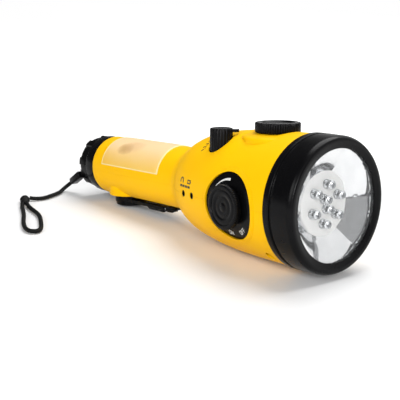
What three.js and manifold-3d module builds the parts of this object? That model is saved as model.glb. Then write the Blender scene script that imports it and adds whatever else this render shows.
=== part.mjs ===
// A hand crank flashlight with radio, lantern window, folding crank and wrist strap.
// The torch is built along its own X axis, tail end face at x = 0, and is then laid down:
// it rests on the swell of its head and on the edge of its crank hub.
import * as THREE from "three";
import { mergeVertices } from "three/addons/utils/BufferGeometryUtils.js";
import Module from "manifold-3d";

const wasm = await Module();
wasm.setup();

// Driving dimensions in millimetres; x runs from the tail, y from the middle, z from the axis
const GAP = 0.3; // between neighbouring pieces that touch
const SEAM = 0.3; // between the two shells
const OVERRUN = 5; // how far a cutter passes the face it cuts
const WALL = 2.2;
const NECK_R = 21.2;
const HEAD_R = 39.2;
const TAIL_X = 16; // where the yellow shell starts
const HANDLE_L = 92;
const HEAD_L = 104; // the flare, from the neck to the bezel
const BEZEL_L = 21.1;
const FLARE_X = TAIL_X + HANDLE_L;
const HEAD_X = FLARE_X + HEAD_L;
const FRONT_X = HEAD_X + GAP + BEZEL_L;
const ROUND = 40; // facets of the large turned pieces
const FINE = 16; // facets of the small ones
const atHead = (share) => FLARE_X + share * HEAD_L;
const atHandle = (share) => TAIL_X + share * HANDLE_L;
const wide = (share) => share * HEAD_R;

const SEAM_Z = wide(-0.038); // the parting plane, just under the axis
const FLAT = { deep: 2.2, heel: 0.7, start: 0.7, past: 4, rib: 1 }; // the flat under the handle
const FLAT_Z = FLAT.deep - NECK_R;
const HEEL_Z = FLAT.heel - NECK_R; // a shallower flat behind it
const FLOOR_Z = FLAT_Z + WALL; // inside of that flat

const BEZEL = {
  proud: 0.8, ringEdge: 0.6, ringW: 5, ringChamfer: 0.7, grooveDeep: 1.3, grooveW: 1.2, grooveSlope: 0.5,
  bandTaper: 0.3, rimW: 2.1, rimStep: 1.7, shoulder: 1.1, lipX: 0.9, lipW: 0.9, lipIn: 2.7, wall: 4.7,
};
const RING_R = HEAD_R + BEZEL.proud;
const BORE_R = RING_R - BEZEL.wall;
const LENS = { play: 0.4, w: 1.7 };
const LENS_R = BORE_R - LENS.play;
const SEAL = { w: 1.3, wall: 1.6 };
const SPIGOT = { wall: 1.8, web: 4 };
const SPIGOT_R = BORE_R - GAP;
const BOARD = { r: 19.1, w: 1.5 };
const REFLECTOR = { w: 0.9, rimW: 2.4, drop: 5.6, midDrop: 3.1, wall: 1.2, midShare: 0.466 };
const REFLECTOR_RIM_R = LENS_R - REFLECTOR.rimW;
const REFLECTOR_HOLE_R = BOARD.r + GAP;
const REFLECTOR_MID_R = REFLECTOR_HOLE_R + REFLECTOR.midShare * (REFLECTOR_RIM_R - REFLECTOR_HOLE_R);
const LED = {
  r: 2.5, flangeR: 2.9, flangeW: 1, h: 6.4, sides: 8,
  ring: 6, ringR: 11.4, turn: 23, pair: 2, pairR: 3.1, pairTurn: 109,
};

const HUB = { r: 11.6, lowStep: 0.7, h: 7.6, step: 2.5, round: 0.9, screwR: 3.6, screwDeep: 2.4 };
const BOSS = { from: 19.2, r: 13.4 };
const BOSS_X = TAIL_X + BOSS.from;
const FLAT_X0 = BOSS_X - HUB.r - FLAT.start;
const FLAT_X1 = FLARE_X + FLAT.past;
const GRIP = {
  r: 3.3, play: 0.35, length: 16.7, start: 10.5, drop: 2.1, ribs: 2, ribW: 1.1, ribDeep: 0.35, tip: 0.6,
};
const GRIP_END = GRIP.start + GRIP.length;
const SPINDLE = { r: 1.4, headR: 2.4, headW: 1, neck: 1.3, collarR: 2.2 };
const ARM = { half: 9, w: 2.5, reach: 56.5, slotPlay: 0.55 };
const SLOT_HALF = GRIP.r + ARM.slotPlay;
const HINGE = { back: 5.7, r: 0.7, inset: 0.8, drop: 1.25, eyeR: 1.6, blockL: 3.7, swing: 3.8 };
const HINGE_X = BOSS_X + ARM.reach - HINGE.back;
const SHAFT = { r: 3, into: 3, play: 0.15, screwBore: 1.35 };
const HUB_SCREW = { r: 1.15, headR: 3, headW: 1.8, length: 7.6, slot: 0.8, crossShare: 0.67 };
const BUSHING = { wall: 1.45, flangeR: 6.4, flangeW: 1 };
const BUSHING_R = SHAFT.r + SHAFT.play + BUSHING.wall;

const MODULE = 0.6667; // gear module
const TEETH = { crank: 36, pinion: 12, idler: 30, rotor: 10 };
const TRAIN = { lift: 3.8, w: 2.8, step: 0.5, upperW: 2.4, under: 0.7 };
const TOOTH = { tipShare: 0.75, footShare: 1, footWidthShare: 0.52, tipWidthShare: 0.26 };
const ROTOR = { r: 8.2, w: 4, shaftR: 1, under: 0.5 };
const STATOR = { wall: 2.7, play: 0.7, clear: 0.8, slots: 9, slotW: 1.6 };
const AXLE = { r: 1.2, play: 0.12 };
const PLATE = { tail: 8.2, head: 12.5, w: 1.2, inset: 0.5 };
const RAIL = { past: 1, w: 3.6 };
const TRAIN_Z = FLOOR_Z + TRAIN.lift;
const UPPER_Z = TRAIN_Z + TRAIN.w + TRAIN.step; // underside of the upper gears
const PLATE_Z = UPPER_Z + TRAIN.upperW + TRAIN.under;
const SHAFT_TOP = PLATE_Z - GAP;

const CAP = {
  out: 18.5, gripStep: 0.6, flange: 5.6, flangeOut: 0.2, endChamfer: 1.6,
  lobeR: 1.5, lobeOut: 1.1, lobes: 9, lobeTurn: 10, lobeL: 11.5,
  skirtStep: 0.5, skirtBack: 1.3, skirtWall: 2, floor: 1.6, grooveIn: 1, grooveW: 2, grooveDeep: 1.2,
};
const CAP_X = TAIL_X - CAP.out;
const GRIP_R = NECK_R - CAP.gripStep;
const FLANGE_R = GRIP_R + CAP.flangeOut;
const SKIRT_R = NECK_R - WALL - CAP.skirtStep;
const SKIRT_X = FLAT_X0 - CAP.skirtBack;
const CAP_BORE_X = TAIL_X - CAP.floor;
const CAP_SEAL = { proud: 0.25, w: 1.4 };
const EYE = { yShare: -0.79, zShare: -0.32, wide: 5, out: 1.9, tall: 4.6, bore: 0.7 };

const CELL = { r: 5.25, length: 43.5, nubR: 1.9, nubW: 0.9, count: 3 };
const CONTACT = { w: 0.6, half: 15.6, tall: 4, wall: 1.9, bump: 1, bumpR: 2.4 };
const TRAY = { from: 3, wall: 0.65, floor: 0.7, lift: 1.5 };
const TRAY_Z = PLATE_Z + PLATE.w + GAP;
const CELL_Z = TRAY_Z + TRAY.floor + GAP + CELL.r;
const CELL_X = CAP_BORE_X + GAP + CONTACT.w + CONTACT.bump + GAP;
const CELL_END = CELL_X + CELL.length;
const CONTACT_X = CELL_END + CELL.nubW + GAP + CONTACT.bump; // tail side of the front contact
const TRAY_X0 = SKIRT_X + TRAY.from;
const TRAY_X1 = CONTACT_X + CONTACT.w + GAP + TRAY.wall;
const LANTERN = {
  inset: 3, lift: 1.6, w: 1.2, leds: 2, ledHalf: 2.6, ledW: 1.4, domeR: 1.9, domeH: 1.1, sides: 12,
};
const LANTERN_Z = CELL_Z + CELL.r + LANTERN.lift;
const LANTERN_TOP = LANTERN_Z + LANTERN.w;
const WINDOW = { tailShare: 0.13, headShare: 0.845, z: 3.7, bulge: 0.7, wall: 1.6, edge: 0.5, slope: 2.6 };
const WINDOW_X0 = atHandle(WINDOW.tailShare);
const WINDOW_X1 = atHandle(WINDOW.headShare);

const SCREW = {
  r: 0.95, headR: 2.5, headW: 1.6, bossR: 3.5, pilot: 1.1, clear: 1.35, bore: 2.9, above: 8, slot: 0.7,
};
const SCREW_SHARES = {
  neck: [-0.067, 0, -0.416],
  rear: [0.144, 0.344, -0.497],
  front: [0.933, 0.638, -0.612],
};
const TUNING = { r: 13.65, h: 6, lift: 0.4, ribs: 36, ribDeep: 0.5, dishIn: 3.25, dish: 0.8, shaftR: 2.6 };
const PAD = { xShare: 0.7394, r: 21.3, topStep: 1.7, fall: 1.9, flat: 0.65, wall: 2.2, roof: 2.6, foot: 8.5 };
const PAD_X = atHead(PAD.xShare);
const PAD_TOP = HEAD_R - PAD.topStep;
const PAD_CEILING = PAD_TOP - PAD.roof;
const CAPACITOR = { half: 10, h: 9, play: 0.3, end: 7.4 };
const SELECT = {
  xShare: 0.4663, yShare: -0.4974, r: 6.95, proud: 0.4, lift: 0.4, ribs: 20, ribDeep: 0.35, shaftR: 2,
};
const WELL = { play: 0.55, wall: 1.9, deep: 15.1, under: 2.2 };
const LUG = { reach: 10.8, half: 1.2, drop: 2.6, w: 1.8, turn: 49.5 };
const SELECT_X = atHead(SELECT.xShare);
const SELECT_Y = wide(SELECT.yShare);
const SELECT_TOP = HEAD_R + SELECT.proud;
const WELL_Z = HEAD_R - WELL.deep;
const SWITCH = { half: 6, h: 9, play: 0.3, deep: 7.6 };
const POT = { r: 8, h: 7, play: 0.6, floor: 1.2 };
const SIDE = {
  xShare: 0.7173, zShare: -0.067, turn: 3, r: 19.8, facets: 36,
  sink: 0.6, seat: 4.4, reach: 9, hole: 3.3, flange: 1,
};
const VOLUME = {
  r: 13.2, base: 0.6, face: 4.3, ribs: 36, ribDeep: 0.5, ringIn: 2.4, ringW: 0.8, ringDeep: 0.5,
  dishR: 6.6, dish: 0.6, hubR: 2.2, shaftR: 2.7,
};
const JACKS = {
  xShares: [0.28, 0.376], hole: 2.1, noseR: 1.65, half: 3.3, deep: 11, bore: 1.4, boreDeep: 9, turn: 13,
};
const PCB = { tailShare: 0.192, headShare: 0.885, halfShare: 0.543, zShare: -0.28, w: 1.5 };
const POSTS = { xShares: [0.279, 0.808], yShare: 0.306, r: 2.6 };
const FERRITE = { tailShare: 0.288, headShare: 0.788, yShare: 0.23, r: 4 };
const SPEAKER = { xShare: 0.683, inset: 0.86, r: 15.6, h: 7, magnetR: 7.5, rim: 1.4, sides: 24 };
const GRILLE = { length: 30, half: 1, step: 4.6, rows: 3 };

// Wrist strap: places on the surface that the torch lies on, tail end face at x = 0
const CORD_R = 1.5;
const CORD_SIDES = 8;
const CRIMP = {
  from: [-5, -16.7, 16.5], to: [-15.6, -17.3, 8.7], half: 3.2, thick: 2.4, sideShare: 0.67, recess: 1.6,
  recessDeep: 0.5, recessShares: [0.2, 0.8],
};
const LEAD_ROUTE = [
  [-15.8, -17.4, 8.5], [-18.3, -18.1, 6.7], [-20.1, -19.4, 4.8], [-20.4, -22.2, 2.9],
  [-18.6, -25.6, 1.75], [-15, -29.6, 1.7], [-12, -34, 1.7], [-9.6, -38.4, 1.7],
  [-7.6, -42.7, 1.7], [-5.6, -47.2, 1.7], [-5, -51.6, 1.7], [-6, -55.4, 1.75], [-8.5, -59.1, 2.1],
];
const LOOP_ROUTE = [
  [3.4, -71.7, 2.1], [10.4, -75.6, 1.7], [16.5, -78.5, 1.7], [28.5, -84.4, 1.7], [37, -89.2, 1.7],
  [44.5, -93.4, 1.7], [52.5, -97.3, 1.7], [59.8, -99.9, 1.7], [65.6, -99.9, 1.7],
  [67.6, -96.7, 1.7], [65, -92.6, 1.7],
  [60.4, -89.3, 1.7], [54.1, -85.7, 1.7], [46.8, -81.8, 1.7], [39.5, -78.2, 1.7],
  [31.5, -75.3, 1.7], [24, -73.6, 1.7], [16.5, -72.1, 1.7], [10.5, -70.6, 1.7], [5.1, -68.9, 2.1],
];
const KNOT = { at: [-3.2, -66, 2.75], turn: -30, long: 8.4, half: 3.9, tall: 2.6, sides: 12 };
const KNOT_SHARES = [[-1, 0], [-0.87, 0.66], [-0.5, 0.92], [0, 1], [0.5, 0.92], [0.87, 0.66], [1, 0]];
const STEPS = { lead: 16, loop: 36 };

// Looks
const look = (color, roughness, metalness = 0) =>
  new THREE.MeshStandardMaterial({ color, roughness, metalness });
const YELLOW = look(0xffc60a, 0.35);
const BLACK = look(0x17171a, 0.45);
const RUBBER = look(0x1c1c1e, 0.8);
const WHITE = look(0xf4f4f0, 0.5);
const CREAM = look(0xf6dca0, 0.4);
const CLEAR = look(0xe8f0f4, 0.05);
const CHROME = look(0xdadde0, 0.12, 1);
const STEEL = look(0xb4b6b8, 0.35, 1);
const BRASS = look(0xc9a54a, 0.35, 1);
const GREEN = look(0x1d5a37, 0.5);
const NYLON = look(0xe6e2d4, 0.5);
const COPPER = look(0xb4703c, 0.4, 1);

// Shape helpers: every shape is a closed solid that can be joined and cut
const UP = new THREE.Vector3(0, 0, 1);
const ALONG_Y = new THREE.Vector3(0, 1, 0);
const vector = (p) => new THREE.Vector3(...p);
const degrees = THREE.MathUtils.degToRad;

function solid(geometry) {
  const bare = geometry.index ? geometry.toNonIndexed() : geometry;
  bare.deleteAttribute("normal");
  bare.deleteAttribute("uv");
  const merged = mergeVertices(bare, 1e-4);
  const index = merged.index.array;
  const kept = [];
  for (let i = 0; i < index.length; i += 3) {
    const [a, b, c] = [index[i], index[i + 1], index[i + 2]];
    if (a !== b && b !== c && c !== a) kept.push(a, b, c);
  }
  const mesh = new wasm.Mesh({
    numProp: 3,
    vertProperties: Float32Array.from(merged.attributes.position.array),
    triVerts: Uint32Array.from(kept),
  });
  return new wasm.Manifold(mesh);
}

function geometryOf(shape) {
  const mesh = shape.getMesh();
  const geometry = new THREE.BufferGeometry();
  geometry.setAttribute("position", new THREE.BufferAttribute(mesh.vertProperties, 3));
  geometry.setIndex(new THREE.BufferAttribute(mesh.triVerts, 1));
  return geometry;
}

const join = (...shapes) => shapes.reduce((whole, shape) => whole.add(shape));
const cut = (shape, ...tools) => tools.reduce((whole, tool) => whole.subtract(tool), shape);
const common = (a, b) => a.intersect(b);

function moved(geometry, from, along, at) {
  geometry.applyQuaternion(new THREE.Quaternion().setFromUnitVectors(from, vector(along).normalize()));
  geometry.translate(...at);
  return solid(geometry);
}

// A turned shape: points are [distance along the axis, radius], in either direction
function turned(points, along = [1, 0, 0], at = [0, 0, 0], facets = ROUND) {
  const outline = points.map(([distance, radius]) => new THREE.Vector2(radius, distance));
  const closed = points[0][1] > 0 || points.at(-1)[1] > 0;
  if (THREE.ShapeUtils.area(outline) < 0) outline.reverse();
  if (closed) outline.push(outline[0].clone());
  return moved(new THREE.LatheGeometry(outline, facets), ALONG_Y, along, at);
}

const rod = (from, to, radius, along, at, facets = FINE) =>
  turned([[from, 0], [from, radius], [to, radius], [to, 0]], along, at, facets);
const ring = (from, to, inner, outer, along, at, facets = ROUND) =>
  turned([[from, inner], [from, outer], [to, outer], [to, inner]], along, at, facets);

function box(low, high) {
  const size = high.map((value, i) => value - low[i]);
  const middle = high.map((value, i) => (value + low[i]) / 2);
  return solid(new THREE.BoxGeometry(...size).translate(...middle));
}

// A straight shape with the given outline, from one distance to another along its axis
function prism(outline, from, to, along = [0, 0, 1], at = [0, 0, 0]) {
  const shape = new THREE.Shape(outline.map(([x, y]) => new THREE.Vector2(x, y)));
  const geometry = new THREE.ExtrudeGeometry(shape, { depth: to - from, bevelEnabled: false });
  return moved(geometry.translate(0, 0, from), UP, along, at);
}

// The outline of a ribbed rim: each rib is a flat crest between two sloped flanks
function ribbed(radius, ribs, deep) {
  const crestShare = 0.5;
  const points = [];
  for (let i = 0; i < ribs; i++) {
    for (const [share, r] of [[0, radius], [crestShare, radius], [(1 + crestShare) / 2, radius - deep]]) {
      const angle = ((i + share) / ribs) * 2 * Math.PI;
      points.push([r * Math.cos(angle), r * Math.sin(angle)]);
    }
  }
  return points;
}

const pitchR = (teeth) => (teeth * MODULE) / 2;
const IDLER_X = BOSS_X + pitchR(TEETH.crank) + pitchR(TEETH.pinion);
const ROTOR_X = IDLER_X + pitchR(TEETH.idler) + pitchR(TEETH.rotor);

function gear(teeth, phase, z, thickness, x) {
  const points = [];
  const tip = pitchR(teeth) + TOOTH.tipShare * MODULE;
  const foot = pitchR(teeth) - TOOTH.footShare * MODULE;
  const [wideShare, thinShare] = [TOOTH.footWidthShare, TOOTH.tipWidthShare];
  const corners = [[-wideShare, foot], [-thinShare, tip], [thinShare, tip], [wideShare, foot]];
  for (let i = 0; i < teeth; i++) {
    for (const [share, r] of corners) {
      const angle = ((i + phase + share / 2) / teeth) * 2 * Math.PI;
      points.push([r * Math.cos(angle), r * Math.sin(angle)]);
    }
  }
  return prism(points, z, z + thickness, [0, 0, 1], [x, 0, 0]);
}

// The scene graph: the torch leans in its rest, the strap lies on the surface below it
const torch = new THREE.Group();
const strap = new THREE.Group();
const part = new THREE.Group();
part.add(torch, strap);

function piece(name, shape, material, home = torch) {
  const mesh = new THREE.Mesh(geometryOf(shape), material);
  mesh.name = name;
  home.add(mesh);
  return mesh;
}

// The body's outline: a straight neck, then a flare that rises fast and levels out
const FLARE_SHARES = [
  [0, 0], [0.048, 0.067], [0.091, 0.2], [0.135, 0.39], [0.18, 0.51], [0.22, 0.6],
  [0.284, 0.7], [0.349, 0.775], [0.478, 0.885], [0.606, 0.945], [0.778, 0.985], [1, 1],
];
const flarePoint = ([lengthShare, riseShare]) => [
  FLARE_X + lengthShare * (HEAD_X - FLARE_X),
  NECK_R + riseShare * (HEAD_R - NECK_R),
];
const FLARE = FLARE_SHARES.map(flarePoint);
const INSIDE = FLARE.filter((_, i) => i % 2 || i === 0); // fewer rows where nothing shows
const insideHalf = (z) => Math.sqrt((NECK_R - WALL) ** 2 - z ** 2); // half the room in the handle

function bodyR(x) {
  if (x <= FLARE_X) return NECK_R;
  const i = Math.min(FLARE.findIndex(([at]) => at >= x), FLARE.length - 1);
  const [[x0, r0], [x1, r1]] = [FLARE[i - 1], FLARE[i]];
  return r0 + ((x - x0) / (x1 - x0)) * (r1 - r0);
}

const bodySolid = (inset, grow = 0, rows = FLARE) =>
  turned([
    [TAIL_X - grow, 0],
    [TAIL_X - grow, NECK_R - inset],
    ...rows.slice(0, -1).map(([x, r]) => [x, r - inset]),
    [HEAD_X + grow, HEAD_R - inset],
    [HEAD_X + grow, 0],
  ]);

// Places shared by several pieces
const LENS_X = FRONT_X - BEZEL.lipX - BEZEL.lipW - GAP; // the lens's front face
const SEAL_X = LENS_X - LENS.w - GAP;
const RIM_X = SEAL_X - SEAL.w - GAP; // front of the reflector's rim
const SPIGOT_X = RIM_X - REFLECTOR.w - GAP;
const PLATE_X = RIM_X - REFLECTOR.drop; // front of the lamp board
const HUB_TOP = FLAT_Z - GAP;
const HUB_Z = HUB_TOP - HUB.h;
const ARM_TOP = -FLANGE_R - GAP; // clears the cap as it turns
const HINGE_Z = ARM_TOP - HINGE.drop;
const HUB_LOW_R = HUB.r - HUB.lowStep;
const PLATE_HALF = insideHalf(PLATE_Z) - PLATE.inset;
const PLATE_X0 = BOSS_X - PLATE.tail;
const PLATE_X1 = ROTOR_X + PLATE.head;
const TRAY_HALF = insideHalf(LANTERN_Z - GAP) - GAP;
const SIDE_X = atHead(SIDE.xShare);
const SIDE_Z = wide(SIDE.zShare);
const sideTurn = degrees(SIDE.turn);
const SIDE_OUT = [-Math.sin(sideTurn), -Math.cos(sideTurn), 0];
const SIDE_AT = [SIDE_X, SIDE.sink - Math.sqrt(bodyR(SIDE_X) ** 2 - SIDE_Z ** 2), SIDE_Z];
const JACK_OUT = [-Math.sin(degrees(JACKS.turn)), -Math.cos(degrees(JACKS.turn)), 0];
const jackPlaces = JACKS.xShares.map((share) => [atHead(share), -bodyR(atHead(share)), SEAM_Z]);
const PCB_Z = wide(PCB.zShare);
const SPEAKER_X = atHead(SPEAKER.xShare);
const speakerHalf = SPEAKER.r - SEAM_Z; // the speaker is centred on the seam
const SPEAKER_Y = Math.sqrt((bodyR(SPEAKER_X) - WALL) ** 2 - speakerHalf ** 2) - SPEAKER.inset;
const WIDE = HEAD_R + OVERRUN;
const sideRod = (from, to, radius, facets) => rod(from, to, radius, SIDE_OUT, SIDE_AT, facets);
const upRod = (x, y, from, to, radius, facets = FINE) => rod(from, to, radius, [0, 0, 1], [x, y, 0], facets);
const cellRow = Array.from({ length: CELL.count }, (_, i) => (i - (CELL.count - 1) / 2) * (2 * CELL.r + GAP));
const screws = Object.entries(SCREW_SHARES).flatMap(([name, [along, across, up]]) => {
  const place = { name, x: atHead(along), y: wide(across), seat: wide(up) };
  if (!across) return [place];
  return [{ ...place, name: name + "_left" }, { ...place, name: name + "_right", y: -place.y }];
});

// Both shells are one moulded form, parted at the seam
function shellForm() {
  const boss = upRod(BOSS_X, 0, FLAT_Z, 0, BOSS.r, 32);
  const padOutline = [
    [PAD_TOP - PAD.foot, 0], [PAD_TOP - PAD.foot, PAD.r], [PAD_TOP - PAD.fall, PAD.r],
    [PAD_TOP, TUNING.r + PAD.flat], [PAD_TOP, 0],
  ];
  const pad = turned(padOutline, [0, 0, 1], [PAD_X, 0, 0], 36);
  const flatCut = box([FLAT_X0, -WIDE, -WIDE], [FLAT_X1, WIDE, FLAT_Z]);
  const heelCut = box([0, -WIDE, -WIDE], [FLAT_X1, WIDE, HEEL_Z]);
  const outer = join(cut(join(bodySolid(0), boss), flatCut, heelCut), pad);

  const floorFill = box([FLAT_X0 - FLAT.rib, -WIDE, -WIDE], [FLAT_X1 + WALL, WIDE, FLOOR_Z]);
  const wellR = SELECT.r + WELL.play;
  const wellWall = upRod(SELECT_X, SELECT_Y, WELL_Z - WELL.under, WIDE, wellR + WELL.wall);
  const cavity = cut(bodySolid(WALL, OVERRUN, INSIDE), floorFill, wellWall);
  const padRoom = upRod(PAD_X, 0, 0, PAD_CEILING, PAD.r - PAD.wall, 36);
  const padFlat = upRod(PAD_X, 0, PAD_TOP, WIDE, TUNING.r + PAD.flat, 36);
  let form = cut(outer, cavity, padRoom, padFlat);

  const spigotEnd = HEAD_X - GAP;
  const [spigotBore, webX, webR] = [SPIGOT_R - SPIGOT.wall, HEAD_X - SPIGOT.web, HEAD_R - WALL / 2];
  const spigot = turned([
    [webX, spigotBore], [SPIGOT_X, spigotBore], [SPIGOT_X, SPIGOT_R],
    [spigotEnd, SPIGOT_R], [spigotEnd, webR], [webX, webR],
  ]);
  const inside = bodySolid(WALL / 2);
  const railX = [PLATE_X0 - RAIL.past, PLATE_X1 + RAIL.past];
  const rails = [-1, 1].map((side) => {
    const [near, far] = [side * (PLATE_HALF - RAIL.w), side * NECK_R].sort((a, b) => a - b);
    return common(box([railX[0], near, FLOOR_Z - WALL / 2], [railX[1], far, PLATE_Z - GAP]), inside);
  });
  const posts = POSTS.xShares.flatMap((share) =>
    [-1, 1].map((side) =>
      common(upRod(atHead(share), side * wide(POSTS.yShare), -WIDE, PCB_Z - GAP, POSTS.r, 8), inside),
    ),
  );
  const bosses = screws.map((s) => common(upRod(s.x, s.y, -WIDE, WIDE, SCREW.bossR, 10), inside));
  form = join(form, spigot, ...rails, ...posts, ...bosses);

  const screwCuts = screws.flatMap((s) => [
    upRod(s.x, s.y, -WIDE, s.seat - GAP, SCREW.bore, 14),
    upRod(s.x, s.y, -WIDE, SEAM_Z, SCREW.clear, 8),
    upRod(s.x, s.y, SEAM_Z - OVERRUN, SCREW.above + GAP, SCREW.pilot, 8),
  ]);
  const windowCut = box([WINDOW_X0, -WIDE, WINDOW.z], [WINDOW_X1 + GAP, WIDE, WIDE]);
  const well = upRod(SELECT_X, SELECT_Y, WELL_Z, WIDE, wellR);
  const wellHole = upRod(SELECT_X, SELECT_Y, 0, WIDE, SELECT.shaftR + GAP, 16);
  const padHole = upRod(PAD_X, 0, 0, WIDE, TUNING.shaftR + GAP, 16);
  const panelCut = sideRod(-SIDE.reach - GAP, WIDE, SIDE.r + GAP, SIDE.facets);
  const crankHole = upRod(BOSS_X, 0, -WIDE, 0, BUSHING_R + GAP);
  const jackCuts = jackPlaces.map((at) => rod(-OVERRUN, OVERRUN, JACKS.hole, JACK_OUT, at, 12));
  const slots = [];
  for (let row = 0; row < GRILLE.rows; row++) {
    const up = GRILLE.step * (row + 1 / 2);
    for (const z of [SEAM_Z + up, SEAM_Z - up]) {
      const low = [SPEAKER_X - GRILLE.length / 2, SPEAKER_Y - OVERRUN, z - GRILLE.half];
      slots.push(box(low, [SPEAKER_X + GRILLE.length / 2, WIDE, z + GRILLE.half]));
    }
  }
  const holes = [windowCut, well, wellHole, padHole, panelCut, crankHole];
  return cut(form, ...screwCuts, ...holes, ...jackCuts, ...slots);
}

const form = shellForm();
const ABOVE = box([0, -WIDE, SEAM_Z + SEAM / 2], [FRONT_X, WIDE, WIDE]);
const BELOW = box([0, -WIDE, -WIDE], [FRONT_X, WIDE, SEAM_Z - SEAM / 2]);
piece("upper_shell", common(form, ABOVE), YELLOW);
piece("lower_shell", common(form, BELOW), YELLOW);

for (const s of screws) {
  const low = s.seat - 2 * GAP - SCREW.headW;
  const head = upRod(s.x, s.y, low, low + SCREW.headW, SCREW.headR, 12);
  const shank = upRod(s.x, s.y, low + SCREW.headW / 2, SCREW.above, SCREW.r, 6);
  const slot = box(
    [s.x - SCREW.headR, s.y - SCREW.slot / 2, low - OVERRUN],
    [s.x + SCREW.headR, s.y + SCREW.slot / 2, low + SCREW.headW / 2],
  );
  piece("shell_screw_" + s.name, cut(join(head, shank), slot), STEEL);
}

// Lantern window and what lights it
{
  const outer = NECK_R + WINDOW.bulge;
  const [x0, x1] = [WINDOW_X0 + GAP, WINDOW_X1];
  const edgeR = outer - WINDOW.edge;
  const pane = turned([
    [x0, outer - WINDOW.wall], [x0, edgeR], [x0 + WINDOW.slope, outer],
    [x1 - WINDOW.slope, outer], [x1, edgeR], [x1, outer - WINDOW.wall],
  ]);
  piece("lantern_window", common(pane, box([0, -WIDE, WINDOW.z + GAP], [FRONT_X, WIDE, WIDE])), CREAM);

  const half = insideHalf(LANTERN_TOP) - GAP;
  const [from, to] = [WINDOW_X0 + LANTERN.inset, WINDOW_X1 - LANTERN.inset];
  piece("lantern_board", box([from, -half, LANTERN_Z], [to, half, LANTERN_TOP]), WHITE);
  const base = LANTERN_TOP + GAP;
  const top = base + LANTERN.ledW;
  for (let i = 0; i < LANTERN.leds; i++) {
    const x = from + ((to - from) * (i + 1 / 2)) / LANTERN.leds;
    const half = LANTERN.ledHalf;
    const chip = box([x - half, -half, base], [x + half, half, top]);
    const dome = turned([
      [base, 0], [base, LANTERN.domeR], [top, LANTERN.domeR],
      [top + LANTERN.domeH, LANTERN.domeR / 2], [top + LANTERN.domeH, 0],
    ], [0, 0, 1], [x, 0, 0], LANTERN.sides);
    piece("lantern_led_" + (i + 1), join(chip, dome), CREAM);
  }
}

// Head: bezel, lens, seal, reflector, lamp board and its lamps
{
  const x0 = HEAD_X + GAP;
  const groove = x0 + BEZEL.ringW;
  const grooveR = RING_R - BEZEL.grooveDeep;
  const band = groove + BEZEL.grooveW + 2 * BEZEL.grooveSlope;
  const bandEndR = RING_R - BEZEL.bandTaper;
  const rimR = RING_R - BEZEL.rimStep;
  const lipFront = FRONT_X - BEZEL.lipX;
  const lipR = BORE_R - BEZEL.lipIn;
  piece("bezel", turned([
    [x0, BORE_R], [x0, RING_R - BEZEL.ringEdge], [x0 + BEZEL.ringChamfer, RING_R],
    [groove - BEZEL.grooveSlope, RING_R], [groove, grooveR], [groove + BEZEL.grooveW, grooveR],
    [band - BEZEL.grooveSlope, RING_R], [FRONT_X - 2 * BEZEL.shoulder, bandEndR],
    [FRONT_X - BEZEL.shoulder / 2, (bandEndR + rimR + BEZEL.ringChamfer) / 2],
    [FRONT_X, rimR], [FRONT_X, rimR - BEZEL.rimW],
    [lipFront, lipR], [lipFront - BEZEL.lipW, lipR], [lipFront - BEZEL.lipW, BORE_R],
  ]), BLACK);
  piece("lens", rod(LENS_X - LENS.w, LENS_X, LENS_R, [1, 0, 0], [0, 0, 0], ROUND), CLEAR);
  const sealBore = LENS_R - SEAL.wall;
  piece("lens_seal", ring(SEAL_X - SEAL.w, SEAL_X, sealBore, LENS_R, [1, 0, 0], [0, 0, 0], 32), RUBBER);
  const back = RIM_X - REFLECTOR.w;
  const midX = RIM_X - REFLECTOR.midDrop;
  piece("reflector", turned([
    [RIM_X, LENS_R], [RIM_X, REFLECTOR_RIM_R], [midX, REFLECTOR_MID_R],
    [PLATE_X, REFLECTOR_HOLE_R], [PLATE_X - REFLECTOR.wall, REFLECTOR_HOLE_R],
    [midX - REFLECTOR.wall, REFLECTOR_MID_R], [back, REFLECTOR_RIM_R], [back, LENS_R],
  ]), CHROME);
  piece("lamp_board", rod(PLATE_X - BOARD.w, PLATE_X, BOARD.r, [1, 0, 0], [0, 0, 0], 40), WHITE);

  const base = PLATE_X + GAP;
  const domeShares = [[0.64, 1], [0.88, 0.7], [1, 0.2]];
  const lamp = ([y, z]) => turned([
    [base, 0], [base, LED.flangeR], [base + LED.flangeW, LED.flangeR], [base + LED.flangeW, LED.r],
    ...domeShares.map(([up, out]) => [base + up * LED.h, out * LED.r]), [base + LED.h, 0],
  ], [1, 0, 0], [0, y, z], LED.sides);
  const places = [];
  const rows = [[LED.ring, LED.ringR, LED.turn], [LED.pair, LED.pairR, LED.pairTurn]];
  for (const [count, radius, turn] of rows) {
    for (let i = 0; i < count; i++) {
      const angle = degrees(turn) + (i * 2 * Math.PI) / count;
      places.push([radius * Math.cos(angle), radius * Math.sin(angle)]);
    }
  }
  places.forEach((place, i) => piece("led_" + (i + 1), lamp(place), CLEAR));
}

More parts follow.
